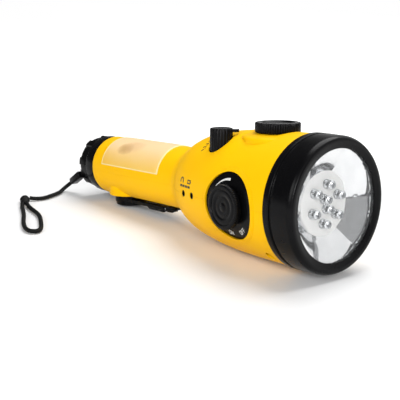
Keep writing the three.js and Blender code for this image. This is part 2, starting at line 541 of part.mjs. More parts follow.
// Side panel, flush with the body, with the volume dial on it
{
  const skin = cut(bodySolid(SIDE.sink), bodySolid(SIDE.sink + WALL, OVERRUN, INSIDE));
  const disc = common(skin, sideRod(-SIDE.reach, WIDE, SIDE.r, SIDE.facets));
  const seat = common(sideRod(-SIDE.seat, 0, POT.r + SIDE.flange, 24), bodySolid(SIDE.sink + GAP));
  piece("side_panel", cut(join(disc, seat), sideRod(-WIDE, WIDE, SIDE.hole, FINE)), BLACK);

  const ringR = VOLUME.r - VOLUME.ringIn;
  const face = turned([
    [VOLUME.face, ringR], [VOLUME.face - VOLUME.ringDeep, ringR - VOLUME.ringW],
    [VOLUME.face - VOLUME.ringDeep / 2, VOLUME.dishR],
    [VOLUME.face - VOLUME.dish, VOLUME.dishR - VOLUME.ringW],
    [VOLUME.face - VOLUME.dish, VOLUME.hubR], [VOLUME.face - VOLUME.dish / 2, 0],
    [VOLUME.face + OVERRUN, 0], [VOLUME.face + OVERRUN, ringR],
  ], SIDE_OUT, SIDE_AT, 28);
  const edge = ribbed(VOLUME.r, VOLUME.ribs, VOLUME.ribDeep);
  const rim = prism(edge, VOLUME.base, VOLUME.face, SIDE_OUT, SIDE_AT);
  const potTop = -SIDE.seat - GAP;
  const boreEnd = potTop - POT.h + POT.floor;
  const shaft = sideRod(boreEnd + GAP, VOLUME.face / 2, VOLUME.shaftR, 16);
  piece("volume_dial", join(cut(rim, face), shaft), BLACK);
  const pot = sideRod(potTop - POT.h, potTop, POT.r, 24);
  piece("volume_control", cut(pot, sideRod(boreEnd, WIDE, VOLUME.shaftR + POT.play, 16)), STEEL);
}

// Tuning dial on its round pad, and the tuning capacitor under it
{
  const z0 = PAD_TOP + TUNING.lift;
  const z1 = z0 + TUNING.h;
  const dishR = TUNING.r - TUNING.dishIn;
  const rim = prism(ribbed(TUNING.r, TUNING.ribs, TUNING.ribDeep), z0, z1, [0, 0, 1], [PAD_X, 0, 0]);
  const dish = turned([
    [z1 - TUNING.dish, 0], [z1 - TUNING.dish, dishR - TUNING.dish],
    [z1, dishR], [z1 + OVERRUN, dishR], [z1 + OVERRUN, 0],
  ], [0, 0, 1], [PAD_X, 0, 0], 28);
  const top = PAD_CEILING - GAP;
  const stem = upRod(PAD_X, 0, top - CAPACITOR.end, z0 + TUNING.dish, TUNING.shaftR, 16);
  piece("tuning_dial", join(cut(rim, dish), stem), BLACK);
  const block = box(
    [PAD_X - CAPACITOR.half, -CAPACITOR.half, top - CAPACITOR.h],
    [PAD_X + CAPACITOR.half, CAPACITOR.half, top],
  );
  const bore = upRod(PAD_X, 0, top - CAPACITOR.end - GAP, WIDE, TUNING.shaftR + CAPACITOR.play, 16);
  piece("tuning_capacitor", cut(block, bore), NYLON);
}

// Function knob in its well, with its pointer lug, and the rotary switch under it
{
  const at = [SELECT_X, SELECT_Y, 0];
  const z0 = WELL_Z + SELECT.lift;
  const knob = prism(ribbed(SELECT.r, SELECT.ribs, SELECT.ribDeep), z0, SELECT_TOP, [0, 0, 1], at);
  const turn = degrees(LUG.turn);
  const along = [Math.cos(turn), Math.sin(turn)];
  const across = [-along[1], along[0]];
  const lugPoints = [
    [0, -LUG.half], [LUG.reach - LUG.half, -LUG.half], [LUG.reach, -LUG.half / 2],
    [LUG.reach, LUG.half / 2], [LUG.reach - LUG.half, LUG.half], [0, LUG.half],
  ];
  const placed = lugPoints.map(([a, b]) => [a * along[0] + b * across[0], a * along[1] + b * across[1]]);
  const lugZ = SELECT_TOP - LUG.drop;
  const lug = prism(placed, lugZ, lugZ + LUG.w, [0, 0, 1], at);
  const top = WELL_Z - WELL.under - GAP;
  const stem = upRod(SELECT_X, SELECT_Y, top - SWITCH.deep, z0 + SELECT.lift, SELECT.shaftR, 16);
  piece("function_knob", join(knob, lug, stem), BLACK);
  const block = box(
    [SELECT_X - SWITCH.half, SELECT_Y - SWITCH.half, top - SWITCH.h],
    [SELECT_X + SWITCH.half, SELECT_Y + SWITCH.half, top],
  );
  const bore = upRod(SELECT_X, SELECT_Y, top - SWITCH.deep - GAP, WIDE, SELECT.shaftR + SWITCH.play, 16);
  piece("function_switch", cut(block, bore), NYLON);
}

// Jack sockets behind their holes in the seam, and the electronics in the head
{
  const out = -WALL - 2 * GAP;
  const square = [[-1, -1], [1, -1], [1, 1], [-1, 1]].map(([a, b]) => [a * JACKS.half, b * JACKS.half]);
  jackPlaces.forEach((at, i) => {
    const block = common(prism(square, out - JACKS.deep, out, JACK_OUT, at), bodySolid(WALL + GAP));
    const nose = rod(out - JACKS.deep / 2, -WALL / 2, JACKS.noseR, JACK_OUT, at, 12);
    const bore = rod(out - JACKS.boreDeep, WIDE, JACKS.bore, JACK_OUT, at, 12);
    piece("jack_socket_" + (i + 1), cut(join(block, nose), bore), BLACK);
  });
  const half = wide(PCB.halfShare);
  const top = PCB_Z + PCB.w;
  piece("main_board", box([atHead(PCB.tailShare), -half, PCB_Z], [atHead(PCB.headShare), half, top]), GREEN);
  const [from, to] = [atHead(FERRITE.tailShare), atHead(FERRITE.headShare)];
  const rodAt = [0, wide(FERRITE.yShare), top + GAP + FERRITE.r];
  piece("ferrite_rod", rod(from, to, FERRITE.r, [1, 0, 0], rodAt), RUBBER);
  const back = SPEAKER_Y - SPEAKER.h;
  piece("speaker", turned([
    [back, 0], [back, SPEAKER.magnetR], [back + SPEAKER.h / 2, SPEAKER.magnetR],
    [SPEAKER_Y - SPEAKER.rim, SPEAKER.r], [SPEAKER_Y, SPEAKER.r], [SPEAKER_Y, SPEAKER.r - SPEAKER.rim],
    [SPEAKER_Y - SPEAKER.rim, SPEAKER.magnetR], [SPEAKER_Y - SPEAKER.rim / 2, 0],
  ], [0, 1, 0], [SPEAKER_X, 0, SEAM_Z], SPEAKER.sides), BLACK);
}

// Cells in their tray, and the contacts at both ends
{
  const wallTop = LANTERN_Z - GAP;
  const floorTop = TRAY_Z + TRAY.floor;
  const sides = [-1, 1].map((side) => {
    const [near, far] = [side * TRAY_HALF, side * (TRAY_HALF - TRAY.wall)].sort((a, b) => a - b);
    return box([TRAY_X0, near, TRAY_Z], [TRAY_X1, far, wallTop]);
  });
  piece("battery_tray", join(
    box([TRAY_X0, -TRAY_HALF, TRAY_Z], [TRAY_X1, TRAY_HALF, floorTop]),
    ...sides,
    box([TRAY_X1 - TRAY.wall, -TRAY_HALF, TRAY_Z], [TRAY_X1, TRAY_HALF, wallTop]),
  ), NYLON);
  cellRow.forEach((y, i) => {
    const cell = turned([
      [CELL_X, 0], [CELL_X, CELL.r], [CELL_END, CELL.r], [CELL_END, CELL.nubR],
      [CELL_END + CELL.nubW, CELL.nubR], [CELL_END + CELL.nubW, 0],
    ], [1, 0, 0], [0, y, CELL_Z]);
    piece("battery_cell_" + (i + 1), cell, STEEL);
  });
  const bumps = cellRow.map((y) =>
    rod(CONTACT_X - CONTACT.bump, CONTACT_X + CONTACT.w / 2, CONTACT.bumpR, [1, 0, 0], [0, y, CELL_Z], 8),
  );
  const strip = box(
    [CONTACT_X, -CONTACT.half, CELL_Z - CONTACT.tall],
    [CONTACT_X + CONTACT.w, CONTACT.half, CELL_Z + CONTACT.tall],
  );
  piece("front_contact", join(strip, ...bumps), BRASS);
}

// Dynamo: crank gear on its shaft, idler, rotor, stator and the plate that holds them
{
  const shaft = upRod(BOSS_X, 0, HUB_TOP - SHAFT.into, SHAFT_TOP, SHAFT.r - SHAFT.play, 20);
  const thread = upRod(BOSS_X, 0, -WIDE, FLOOR_Z, SHAFT.screwBore, 12);
  const wheel = gear(TEETH.crank, 0, TRAIN_Z, TRAIN.w, BOSS_X);
  piece("crank_gear", cut(join(shaft, wheel), thread), NYLON);
  const [boreR, foot] = [SHAFT.r + SHAFT.play, FLOOR_Z + GAP];
  piece("crank_bushing", turned([
    [FLAT_Z, boreR], [FLAT_Z, BUSHING_R], [foot, BUSHING_R], [foot, BUSHING.flangeR],
    [foot + BUSHING.flangeW, BUSHING.flangeR], [foot + BUSHING.flangeW, boreR],
  ], [0, 0, 1], [BOSS_X, 0, 0], 20), BRASS);

  const pinion = gear(TEETH.pinion, 1 / 2, TRAIN_Z, TRAIN.w + TRAIN.step, IDLER_X);
  const big = gear(TEETH.idler, 0, UPPER_Z, TRAIN.upperW, IDLER_X);
  const axleHole = upRod(IDLER_X, 0, -WIDE, WIDE, AXLE.r + AXLE.play, 16);
  piece("idler_gear", cut(join(pinion, big), axleHole), NYLON);

  const rotorTop = UPPER_Z - ROTOR.under;
  const magnet = upRod(ROTOR_X, 0, rotorTop - ROTOR.w, rotorTop, ROTOR.r, 32);
  const spindle = upRod(ROTOR_X, 0, FLOOR_Z + GAP, PLATE_Z + PLATE.w - GAP, ROTOR.shaftR, 12);
  const small = gear(TEETH.rotor, 1 / 2, UPPER_Z, TRAIN.upperW, ROTOR_X);
  piece("dynamo_rotor", join(magnet, spindle, small), STEEL);

  const statorTop = rotorTop - ROTOR.under / 2;
  const statorBore = ROTOR.r + STATOR.play;
  const statorR = statorBore + STATOR.wall;
  const hoop = ring(FLOOR_Z + GAP, statorTop, statorBore, statorR, [0, 0, 1], [ROTOR_X, 0, 0], 32);
  const slots = Array.from({ length: STATOR.slots }, (_, i) => {
    const angle = (i / STATOR.slots) * 2 * Math.PI;
    const [x, y] = [ROTOR_X + statorR * Math.cos(angle), statorR * Math.sin(angle)];
    return upRod(x, y, -WIDE, WIDE, STATOR.slotW, 6);
  });
  const pinionRoom = upRod(IDLER_X, 0, -WIDE, WIDE, pitchR(TEETH.pinion) + MODULE + STATOR.clear, 16);
  piece("dynamo_stator", common(cut(hoop, ...slots, pinionRoom), bodySolid(WALL + GAP)), COPPER);

  const plateTop = PLATE_Z + PLATE.w;
  const plate = box([PLATE_X0, -PLATE_HALF, PLATE_Z], [PLATE_X1, PLATE_HALF, plateTop]);
  const axle = upRod(IDLER_X, 0, FLOOR_Z + GAP, PLATE_Z + PLATE.w / 2, AXLE.r, 12);
  const holes = [
    upRod(BOSS_X, 0, -WIDE, WIDE, boreR, 20),
    upRod(ROTOR_X, 0, -WIDE, WIDE, ROTOR.shaftR + AXLE.play, 12),
  ];
  piece("gear_plate", join(cut(plate, ...holes), axle), STEEL);
}

// Crank: hub and arm in one moulding, its screw, and the folding handle near the arm's tip
{
  const low = HUB_Z + HUB.step;
  const hub = turned([
    [HUB_TOP, 0], [HUB_TOP, HUB.r], [low + HUB.round, HUB.r], [low, HUB.r - HUB.round / 2],
    [low - HUB.round / 2, HUB_LOW_R], [HUB_Z + HUB.round, HUB_LOW_R],
    [HUB_Z, HUB_LOW_R - HUB.round], [HUB_Z, 0],
  ], [0, 0, 1], [BOSS_X, 0, 0], 28);
  const outline = new THREE.Shape();
  const tip = ARM.reach - ARM.half;
  outline.moveTo(0, -ARM.half);
  outline.lineTo(tip, -ARM.half);
  outline.absarc(tip, 0, ARM.half, -Math.PI / 2, Math.PI / 2);
  outline.lineTo(0, ARM.half);
  const armOutline = outline.getPoints(10).map((p) => [p.x, p.y]);
  const arm = prism(armOutline, ARM_TOP - ARM.w, ARM_TOP, [0, 0, 1], [BOSS_X, 0, 0]);
  const slotX0 = HINGE_X - GRIP_END - SPINDLE.headW - 2 * GAP;
  const slot = box([slotX0, -SLOT_HALF, -WIDE], [HINGE_X + HINGE.swing, SLOT_HALF, 0]);
  const pinHalf = ARM.half - HINGE.inset;
  const hingeRod = (half, radius, facets) =>
    rod(-half, half, radius, [0, 1, 0], [HINGE_X, 0, HINGE_Z], facets);
  const pinBore = hingeRod(pinHalf + GAP, HINGE.r + AXLE.play, 12);
  const seat = HUB_Z + HUB.screwDeep;
  const screwSeat = upRod(BOSS_X, 0, -WIDE, seat, HUB.screwR, 20);
  const screwHole = upRod(BOSS_X, 0, -WIDE, 0, SHAFT.screwBore, 12);
  const socket = upRod(BOSS_X, 0, HUB_TOP - SHAFT.into - GAP, 0, SHAFT.r + SHAFT.play, 20);
  piece("crank_arm", cut(join(hub, arm), slot, pinBore, screwSeat, screwHole, socket), BLACK);

  const headTop = seat - GAP;
  const headLow = headTop - HUB_SCREW.headW;
  const slotTop = headTop - HUB_SCREW.headW / 2;
  const head = upRod(BOSS_X, 0, headLow, headTop, HUB_SCREW.headR, 20);
  const shank = upRod(BOSS_X, 0, slotTop, headTop + HUB_SCREW.length, HUB_SCREW.r, 12);
  const [longHalf, thinHalf] = [HUB_SCREW.headR * HUB_SCREW.crossShare, HUB_SCREW.slot / 2];
  const cross = [[longHalf, thinHalf], [thinHalf, longHalf]].map(([a, b]) =>
    box([BOSS_X - a, -b, -WIDE], [BOSS_X + a, b, slotTop]),
  );
  piece("crank_screw", cut(join(head, shank), ...cross), STEEL);
  piece("hinge_pin", hingeRod(pinHalf, HINGE.r, 12), STEEL);

  const inward = [-1, 0, 0];
  const gripAt = [HINGE_X, 0, HINGE_Z - GRIP.drop];
  const blockHalf = SLOT_HALF - GAP;
  const eye = hingeRod(blockHalf, HINGE.eyeR, 16);
  const bridge = common(
    box(
      [HINGE_X - HINGE.blockL, -blockHalf, HINGE_Z - GRIP.drop - SPINDLE.neck],
      [HINGE_X, blockHalf, HINGE_Z + HINGE.eyeR],
    ),
    rod(-OVERRUN, HINGE.blockL + OVERRUN, blockHalf, inward, gripAt, 20),
  );
  const pinHole = hingeRod(WIDE, HINGE.r + AXLE.play, 12);
  const capEnd = GRIP_END + GAP + SPINDLE.headW;
  const collar = rod(HINGE.blockL / 2, GRIP.start - GAP, SPINDLE.collarR, inward, gripAt, 16);
  const stem = rod(HINGE.blockL, capEnd, SPINDLE.r, inward, gripAt, 12);
  const cap = rod(GRIP_END + GAP, capEnd, SPINDLE.headR, inward, gripAt, 16);
  piece("grip_spindle", cut(join(eye, bridge, collar, stem, cap), pinHole), BLACK);

  const bore = SPINDLE.r + GRIP.play;
  const ribs = [];
  for (let i = 0; i < GRIP.ribs; i++) {
    const middle = GRIP.start + (GRIP.length * (i + 1)) / (GRIP.ribs + 1);
    const half = GRIP.ribW / 2;
    ribs.push([middle - half, GRIP.r], [middle, GRIP.r - GRIP.ribDeep], [middle + half, GRIP.r]);
  }
  piece("grip", turned([
    [GRIP.start, bore], [GRIP.start, GRIP.r - GRIP.tip], [GRIP.start + GRIP.tip, GRIP.r], ...ribs,
    [GRIP_END - GRIP.tip, GRIP.r], [GRIP_END, GRIP.r - GRIP.tip], [GRIP_END, bore],
  ], inward, gripAt, 14), BLACK);
}

// Screw cap at the tail, its seal and contact, and the eye that holds the strap
{
  const flangeX = TAIL_X - CAP.flange;
  const [grooveX0, grooveX1] = [TAIL_X + CAP.grooveIn, TAIL_X + CAP.grooveIn + CAP.grooveW];
  const grooveR = SKIRT_R - CAP.grooveDeep;
  const boreR = SKIRT_R - CAP.skirtWall;
  const outer = turned([
    [CAP_X, 0], [CAP_X, GRIP_R - CAP.endChamfer], [CAP_X + CAP.endChamfer, GRIP_R], [flangeX, GRIP_R],
    [flangeX + CAP.endChamfer / 2, FLANGE_R], [TAIL_X - GAP, FLANGE_R], [TAIL_X - GAP, SKIRT_R],
    [grooveX0, SKIRT_R], [grooveX0, grooveR], [grooveX1, grooveR], [grooveX1, SKIRT_R],
    [SKIRT_X, SKIRT_R], [SKIRT_X, boreR], [CAP_BORE_X, boreR], [CAP_BORE_X, 0],
  ], [1, 0, 0], [0, 0, 0], 36);
  const lobeFrom = CAP_X + CAP.endChamfer / 2;
  const lobeWideR = CAP.lobeR + CAP.lobeOut / 2;
  const lobes = Array.from({ length: CAP.lobes }, (_, i) => {
    const angle = (i / CAP.lobes) * 2 * Math.PI + degrees(CAP.lobeTurn);
    const middleR = GRIP_R + CAP.lobeOut - lobeWideR;
    return turned([
      [lobeFrom, 0], [lobeFrom, CAP.lobeR], [CAP_X + CAP.endChamfer, lobeWideR],
      [CAP_X + CAP.lobeL - CAP.lobeR, lobeWideR], [CAP_X + CAP.lobeL, 0],
    ], [1, 0, 0], [0, middleR * Math.cos(angle), middleR * Math.sin(angle)], 8);
  });
  const [eyeY, eyeZ] = [EYE.yShare * GRIP_R, EYE.zShare * GRIP_R];
  const eye = box(
    [CAP_X - EYE.out, eyeY - EYE.wide / 2, eyeZ - EYE.tall / 2],
    [CAP_X + CAP.endChamfer, eyeY + EYE.wide / 2, eyeZ + EYE.tall / 2],
  );
  const bore = rod(-WIDE, WIDE, EYE.bore, [0, 0, 1], [CAP_X - EYE.out / 2, eyeY, 0], 12);
  const bound = rod(CAP_X - EYE.out - OVERRUN, CAP_X + OVERRUN, GRIP_R, [1, 0, 0], [0, 0, 0], 36);
  piece("tail_cap", join(outer, ...lobes, cut(common(eye, bound), bore)), BLACK);

  const middle = (grooveX0 + grooveX1) / 2;
  const [sealFrom, sealTo] = [middle - CAP_SEAL.w / 2, middle + CAP_SEAL.w / 2];
  const sealR = SKIRT_R + CAP_SEAL.proud;
  piece("cap_seal", ring(sealFrom, sealTo, grooveR + GAP, sealR, [1, 0, 0], [0, 0, 0], 32), RUBBER);
  const discX = CAP_BORE_X + GAP;
  const disc = rod(discX, discX + CONTACT.w, boreR - CONTACT.wall, [1, 0, 0], [0, 0, 0], 32);
  const bumps = cellRow.map((y) =>
    rod(discX + CONTACT.w / 2, discX + CONTACT.w + CONTACT.bump, CONTACT.bumpR, [1, 0, 0], [0, y, 0], 8),
  );
  piece("tail_contact", join(disc, ...bumps), BRASS);
}

// Wrist strap: crimp at the eye, lead, knot and loop
function cord(route, steps) {
  const curve = new THREE.CatmullRomCurve3(route.map(vector), false, "centripetal");
  const shape = new THREE.Shape();
  for (let i = 0; i < CORD_SIDES; i++) {
    const angle = ((i + 1 / 2) / CORD_SIDES) * 2 * Math.PI;
    const point = [CORD_R * Math.cos(angle), CORD_R * Math.sin(angle)];
    if (i) shape.lineTo(...point);
    else shape.moveTo(...point);
  }
  const geometry = new THREE.ExtrudeGeometry(shape, { steps, extrudePath: curve, bevelEnabled: false });
  return solid(geometry);
}

{
  const from = vector(CRIMP.from);
  const along = vector(CRIMP.to).sub(from);
  const length = along.length();
  const side = CRIMP.half * CRIMP.sideShare;
  const outline = [
    [-CRIMP.half, -CRIMP.thick / 2], [-side, -CRIMP.thick], [side, -CRIMP.thick],
    [CRIMP.half, -CRIMP.thick / 2], [CRIMP.half, CRIMP.thick / 2], [side, CRIMP.thick],
    [-side, CRIMP.thick], [-CRIMP.half, CRIMP.thick / 2],
  ];
  const local = prism(outline, 0, length);
  const [dentFrom, dentTo] = CRIMP.recessShares.map((share) => share * length);
  const dent = box(
    [-CRIMP.recess, CRIMP.thick - CRIMP.recessDeep, dentFrom],
    [CRIMP.recess, CRIMP.thick + OVERRUN, dentTo],
  );
  const mesh = piece("strap_crimp", cut(local, dent), BLACK, strap);
  const z = along.clone().normalize();
  const x = new THREE.Vector3().crossVectors(z, UP).normalize();
  const y = new THREE.Vector3().crossVectors(z, x).negate();
  mesh.quaternion.setFromRotationMatrix(new THREE.Matrix4().makeBasis(x.negate(), y, z));
  mesh.position.copy(from);

  piece("strap_lead", cord(LEAD_ROUTE, STEPS.lead), RUBBER, strap);
  piece("strap_loop", cord(LOOP_ROUTE, STEPS.loop), RUBBER, strap);

  const profile = KNOT_SHARES.map(([along, out]) => [along * KNOT.long, out * KNOT.half]);
  const knot = piece("strap_knot", turned(profile, [1, 0, 0], [0, 0, 0], KNOT.sides), RUBBER, strap);
  knot.scale.z = KNOT.tall / KNOT.half;
  knot.rotation.z = degrees(KNOT.turn);
  knot.position.set(...KNOT.at);
}

// Rest: the torch leans until its flare, or the bezel's rear ring, and the hub's edge share the floor
const hubBack = BOSS_X - HUB_LOW_R + HUB.round;
const ringFoot = [HEAD_X + GAP + BEZEL.ringW - BEZEL.grooveSlope, RING_R];
const lean = Math.max(...[...FLARE, ringFoot].map(([x, r]) => Math.atan2(r + HUB_Z, x - hubBack)));
torch.rotation.y = -lean;
torch.position.z = -hubBack * Math.sin(lean) - HUB_Z * Math.cos(lean);

// The origin is under the middle of the torch, on the floor
const spread = new THREE.Box3().setFromObject(torch, true);
part.position.set(-(spread.min.x + spread.max.x) / 2, -(spread.min.y + spread.max.y) / 2, 0);

export default part;
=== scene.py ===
"""Hand crank flashlight with radio: the looks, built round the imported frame."""
import math

import bmesh
import bpy
from mathutils import Matrix, Vector


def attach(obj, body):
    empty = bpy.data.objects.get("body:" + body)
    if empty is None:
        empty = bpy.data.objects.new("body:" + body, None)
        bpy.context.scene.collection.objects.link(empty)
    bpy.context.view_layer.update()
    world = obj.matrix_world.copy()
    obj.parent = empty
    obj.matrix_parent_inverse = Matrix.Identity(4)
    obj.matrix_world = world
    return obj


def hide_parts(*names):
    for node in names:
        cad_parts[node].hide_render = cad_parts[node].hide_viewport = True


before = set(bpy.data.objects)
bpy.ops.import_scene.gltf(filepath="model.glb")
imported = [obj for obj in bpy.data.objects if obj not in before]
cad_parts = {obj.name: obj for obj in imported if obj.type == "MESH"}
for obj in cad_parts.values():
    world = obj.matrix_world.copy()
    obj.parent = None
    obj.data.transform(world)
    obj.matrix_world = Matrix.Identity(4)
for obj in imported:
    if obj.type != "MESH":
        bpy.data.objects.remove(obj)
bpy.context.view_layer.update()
MM = 0.001
TAU = 2 * math.pi
UP = (0, 0, 1)

# The torch's own axes: x runs from the tail, y from the middle, z from the axis, in millimetres
LEAN = math.radians(4.434939179713468)
SHIFT = (-115.80391528537312, 1.485574722290039)
LIFT = 24.87081465901698
ON_FLOOR = Matrix.Scale(MM, 4) @ Matrix.Translation((*SHIFT, 0))
TORCH = ON_FLOOR @ Matrix.Translation((0, 0, LIFT)) @ Matrix.Rotation(-LEAN, 4, "Y")

# Sizes shared by several pieces
NECK_R, HEAD_R = 21.2, 39.2
TAIL_X, FLARE_X, HEAD_X, FRONT_X = 16.0, 108.0, 212.0, 233.4
WALL, GAP, SEAM, SEAM_Z = 2.2, 0.3, 0.07, -1.49
WIDE = 60  # past every side, for cutting
FLARE_SHARES = [  # of its length, and of its growth in radius
    (0, 0), (0.048, 0.067), (0.091, 0.2), (0.135, 0.39), (0.18, 0.51), (0.22, 0.6),
    (0.284, 0.7), (0.349, 0.775), (0.478, 0.885), (0.606, 0.945), (0.778, 0.985), (1, 1),
]
FLARE = [
    (FLARE_X + a * (HEAD_X - FLARE_X), NECK_R + b * (HEAD_R - NECK_R)) for a, b in FLARE_SHARES
]
BOSS_X, BOSS_R, FLAT_Z, HEEL_Z, FLAT_X0, FLAT_X1 = 35.2, 15.2, -19.0, -20.5, 22.9, 112.0
RING_R, BORE_R = 40.0, 35.3
LENS_X, LENS_R = 231.3, 34.9
PLATE_X, PLATE_R = 222.1, 19.1
WINDOW_X0, WINDOW_X1, WINDOW_Z = 27.96, 93.74, 3.7
PAD_X, PAD_TOP, TUNING_R = 184.9, 37.5, 13.65
SELECT_X, SELECT_Y, SELECT_TOP, WELL_Z = 156.5, -19.5, 39.6, 24.1
SIDE_X, SIDE_Y, SIDE_Z, SIDE_R = 182.6, -37.99, -2.63, 19.8
SIDE_TURN = math.radians(3)
SIDE_OUT = Vector((-math.sin(SIDE_TURN), -math.cos(SIDE_TURN), 0))
JACKS = ((137.1, -33.7), (147.1, -35.6))
JACK_TURN = math.radians(13)
JACK_OUT = Vector((-math.sin(JACK_TURN), -math.cos(JACK_TURN), 0))
ARM_TOP, ARM_W, HUB_Z = -21.1, 2.5, -26.9
HINGE_X, HINGE_Z, GRIP_Z = 86.0, -22.35, -24.45
SCREWS = [  # x, y and the seat's z
    (101.03, 0, -16.3), (122.98, 13.48, -19.48), (122.98, -13.48, -19.48),
    (205.03, 25.01, -23.99), (205.03, -25.01, -23.99),
]
SCREW_HEAD, SCREW_BORE = 2.9, 1.35
GRILLE_X, GRILLE_STEP = 179, 4.6
BOSS_AT, PAD_AT, SELECT_AT = (BOSS_X, 0, 0), (PAD_X, 0, 0), (SELECT_X, SELECT_Y, 0)
SIDE_AT = (SIDE_X, SIDE_Y, SIDE_Z)


# Camera, at the photograph's angle: its place in millimetres and its directions on the torch's axes
EYE = Vector((531.8, -356.54, 90.58))
AHEAD = Vector((-0.7477, 0.6375, -0.1857)).normalized()
RIGHT = Vector((0.6491, 0.7607, -0.0024)).normalized()
SENSOR, FOCAL_PIXELS, FRAME_PIXELS = 36, 836.54, 400


def set_camera():
    right = (RIGHT - AHEAD * RIGHT.dot(AHEAD)).normalized()
    up = right.cross(AHEAD)
    turn = Matrix.Rotation(-LEAN, 3, "Y")
    axes = Matrix((turn @ right, turn @ up, turn @ -AHEAD)).transposed()
    data = bpy.data.cameras.new("camera")
    data.sensor_width = SENSOR
    data.lens = SENSOR * FOCAL_PIXELS / FRAME_PIXELS
    data.clip_end = 50
    camera = bpy.data.objects.new("camera", data)
    bpy.context.scene.collection.objects.link(camera)
    camera.matrix_world = Matrix.Translation(TORCH @ EYE) @ axes.to_4x4()
    bpy.context.scene.camera = camera


set_camera()


# Node trees
class Tree:
    """Short names for adding and linking the nodes of a world or a material."""

    def __init__(self, owner):
        owner.use_nodes = True
        self.nodes, self.links = owner.node_tree.nodes, owner.node_tree.links
        self.nodes.clear()

    def feed(self, socket, value):
        """Links the value where it is a socket, and otherwise sets it."""
        if hasattr(value, "is_linked"):
            self.links.new(value, socket)
        else:
            socket.default_value = value

    def node(self, kind, **values):
        made = self.nodes.new("ShaderNode" + kind)
        for key, value in values.items():
            if hasattr(made, key):
                setattr(made, key, value)
            else:
                self.feed(made.inputs[key.replace("_", " ")], value)
        return made

    def spread(self, value, low, high, source=(0.3, 0.7), **kind):
        made = self.node("MapRange", Value=value, **kind)
        for socket, number in zip(made.inputs[1:5], (*source, low, high)):
            socket.default_value = number
        return made.outputs["Result"]

    def mix(self, factor, first, second, kind="RGBA"):
        made = self.node("Mix", data_type=kind)
        index, output = (6, 2) if kind == "RGBA" else (2, 0)
        for k, value in ((0, factor), (index, first), (index + 1, second)):
            self.feed(made.inputs[k], value)
        return made.outputs[output]

    def math(self, operation, first, second=0.0):
        made = self.node("Math", operation=operation)
        self.feed(made.inputs[0], first)
        self.feed(made.inputs[1], second)
        return made.outputs[0]


class Surface(Tree):
    """The nodes of a new material."""

    def __init__(self, name):
        self.material = bpy.data.materials.new(name)
        super().__init__(self.material)
        out = self.node("OutputMaterial")
        self.shader = self.node("BsdfPrincipled")
        self.links.new(self.shader.outputs[0], out.inputs["Surface"])
        self.place = self.node("TexCoord").outputs["Object"]

    def set(self, **values):
        for key, value in values.items():
            self.feed(self.shader.inputs[key.replace("_", " ")], value)

    def noise(self, scale, detail=3, rough=0.5):
        made = self.node("TexNoise", Scale=scale, Detail=detail, Roughness=rough, Vector=self.place)
        return made.outputs["Fac"]

    def bump(self, height, distance, strength=1.0, normal=None):
        made = self.node("Bump", Height=height, Distance=distance, Strength=strength)
        if normal:
            self.links.new(normal, made.inputs["Normal"])
        return made.outputs[0]

    def torch_place(self):
        """Coordinates in the torch's own axes, in metres: x, y and z apart."""
        spot = (SHIFT[0] * MM, SHIFT[1] * MM, LIFT * MM)
        local = self.node(
            "Mapping", vector_type="TEXTURE", Vector=self.place, Location=spot,
            Rotation=(0, -LEAN, 0),
        )
        return self.node("SeparateXYZ", Vector=local.outputs[0]).outputs

    def soft_edge(self, radius):
        return self.node("Bevel", samples=6, Radius=radius).outputs[0]


def plastic(name, color, tint, rough, grain, depth, edge=0.0, **extra):
    """Moulded plastic: a fine grain, slow changes of colour and gloss, and softened edges."""
    tree = Surface(name)
    slow = tree.noise(22, 2)
    fine = tree.noise(grain, 2, 0.6)
    haze = tree.noise(140, 4, 0.6)
    base = tree.mix(tree.spread(slow, 0, 1), (*color, 1), (*tint, 1))
    gloss = tree.spread(haze, rough - 0.03, rough + 0.04)
    normal = tree.soft_edge(edge) if edge else None
    tree.set(Base_Color=base, Roughness=gloss, Normal=tree.bump(fine, depth, 0.5, normal), **extra)
    return tree.material


def metal(name, color, rough):
    """Drawn or rolled metal: a fine brushed grain, and slow changes of colour and gloss."""
    tree = Surface(name)
    brushed = tree.noise(900, 2, 0.5)
    slow = tree.noise(60, 3)
    dark = tuple(c * 0.86 for c in color)
    base = tree.mix(tree.spread(slow, 0, 1), (*color, 1), (*dark, 1))
    gloss = tree.spread(slow, rough - 0.05, rough + 0.08)
    tree.set(Base_Color=base, Metallic=1.0, Roughness=gloss, Normal=tree.bump(brushed, 2e-6, 0.4))
    return tree.material


YELLOW = plastic(
    "yellow_plastic", (0.96, 0.535, 0.002), (0.945, 0.505, 0.002), 0.44, 1800, 3e-6, 0.00025,
    Specular_IOR_Level=0.1, Specular_Tint=(1.0, 0.78, 0.3, 1),
)
BLACK = plastic(
    "black_plastic", (0.003, 0.003, 0.0035), (0.002, 0.002, 0.0025), 0.25, 2400, 5e-6, 0.0003,
    Specular_IOR_Level=0.1,
)
RUBBER = plastic(
    "black_rubber", (0.006, 0.006, 0.006), (0.004, 0.004, 0.004), 0.6, 1500, 1.2e-5,
    Specular_IOR_Level=0.12,
)
WHITE = plastic("white_plastic", (0.93, 0.93, 0.92), (0.90, 0.90, 0.88), 0.5, 2000, 5e-6)
NYLON = plastic("nylon", (0.74, 0.70, 0.60), (0.70, 0.66, 0.55), 0.48, 1500, 6e-6)
GREEN = plastic("circuit_board", (0.02, 0.13, 0.05), (0.03, 0.17, 0.07), 0.4, 500, 8e-6)
STEEL = metal("steel", (0.56, 0.57, 0.58), 0.3)
LAMP_METAL = metal("lamp_frame_metal", (0.20, 0.20, 0.21), 0.25)
BRASS = metal("brass", (0.62, 0.43, 0.14), 0.3)
COPPER = metal("copper", (0.62, 0.26, 0.12), 0.35)
CELL = metal("cell_case", (0.45, 0.46, 0.48), 0.35)


# Folds of the mirror where a dark reflection is painted into the plating's colour
DARK_REFLECTION_FOLDS = ((122, 6.5), (-113, 6.5), (-174, 3.0), (4, 2.0))  # middle and half width, in degrees


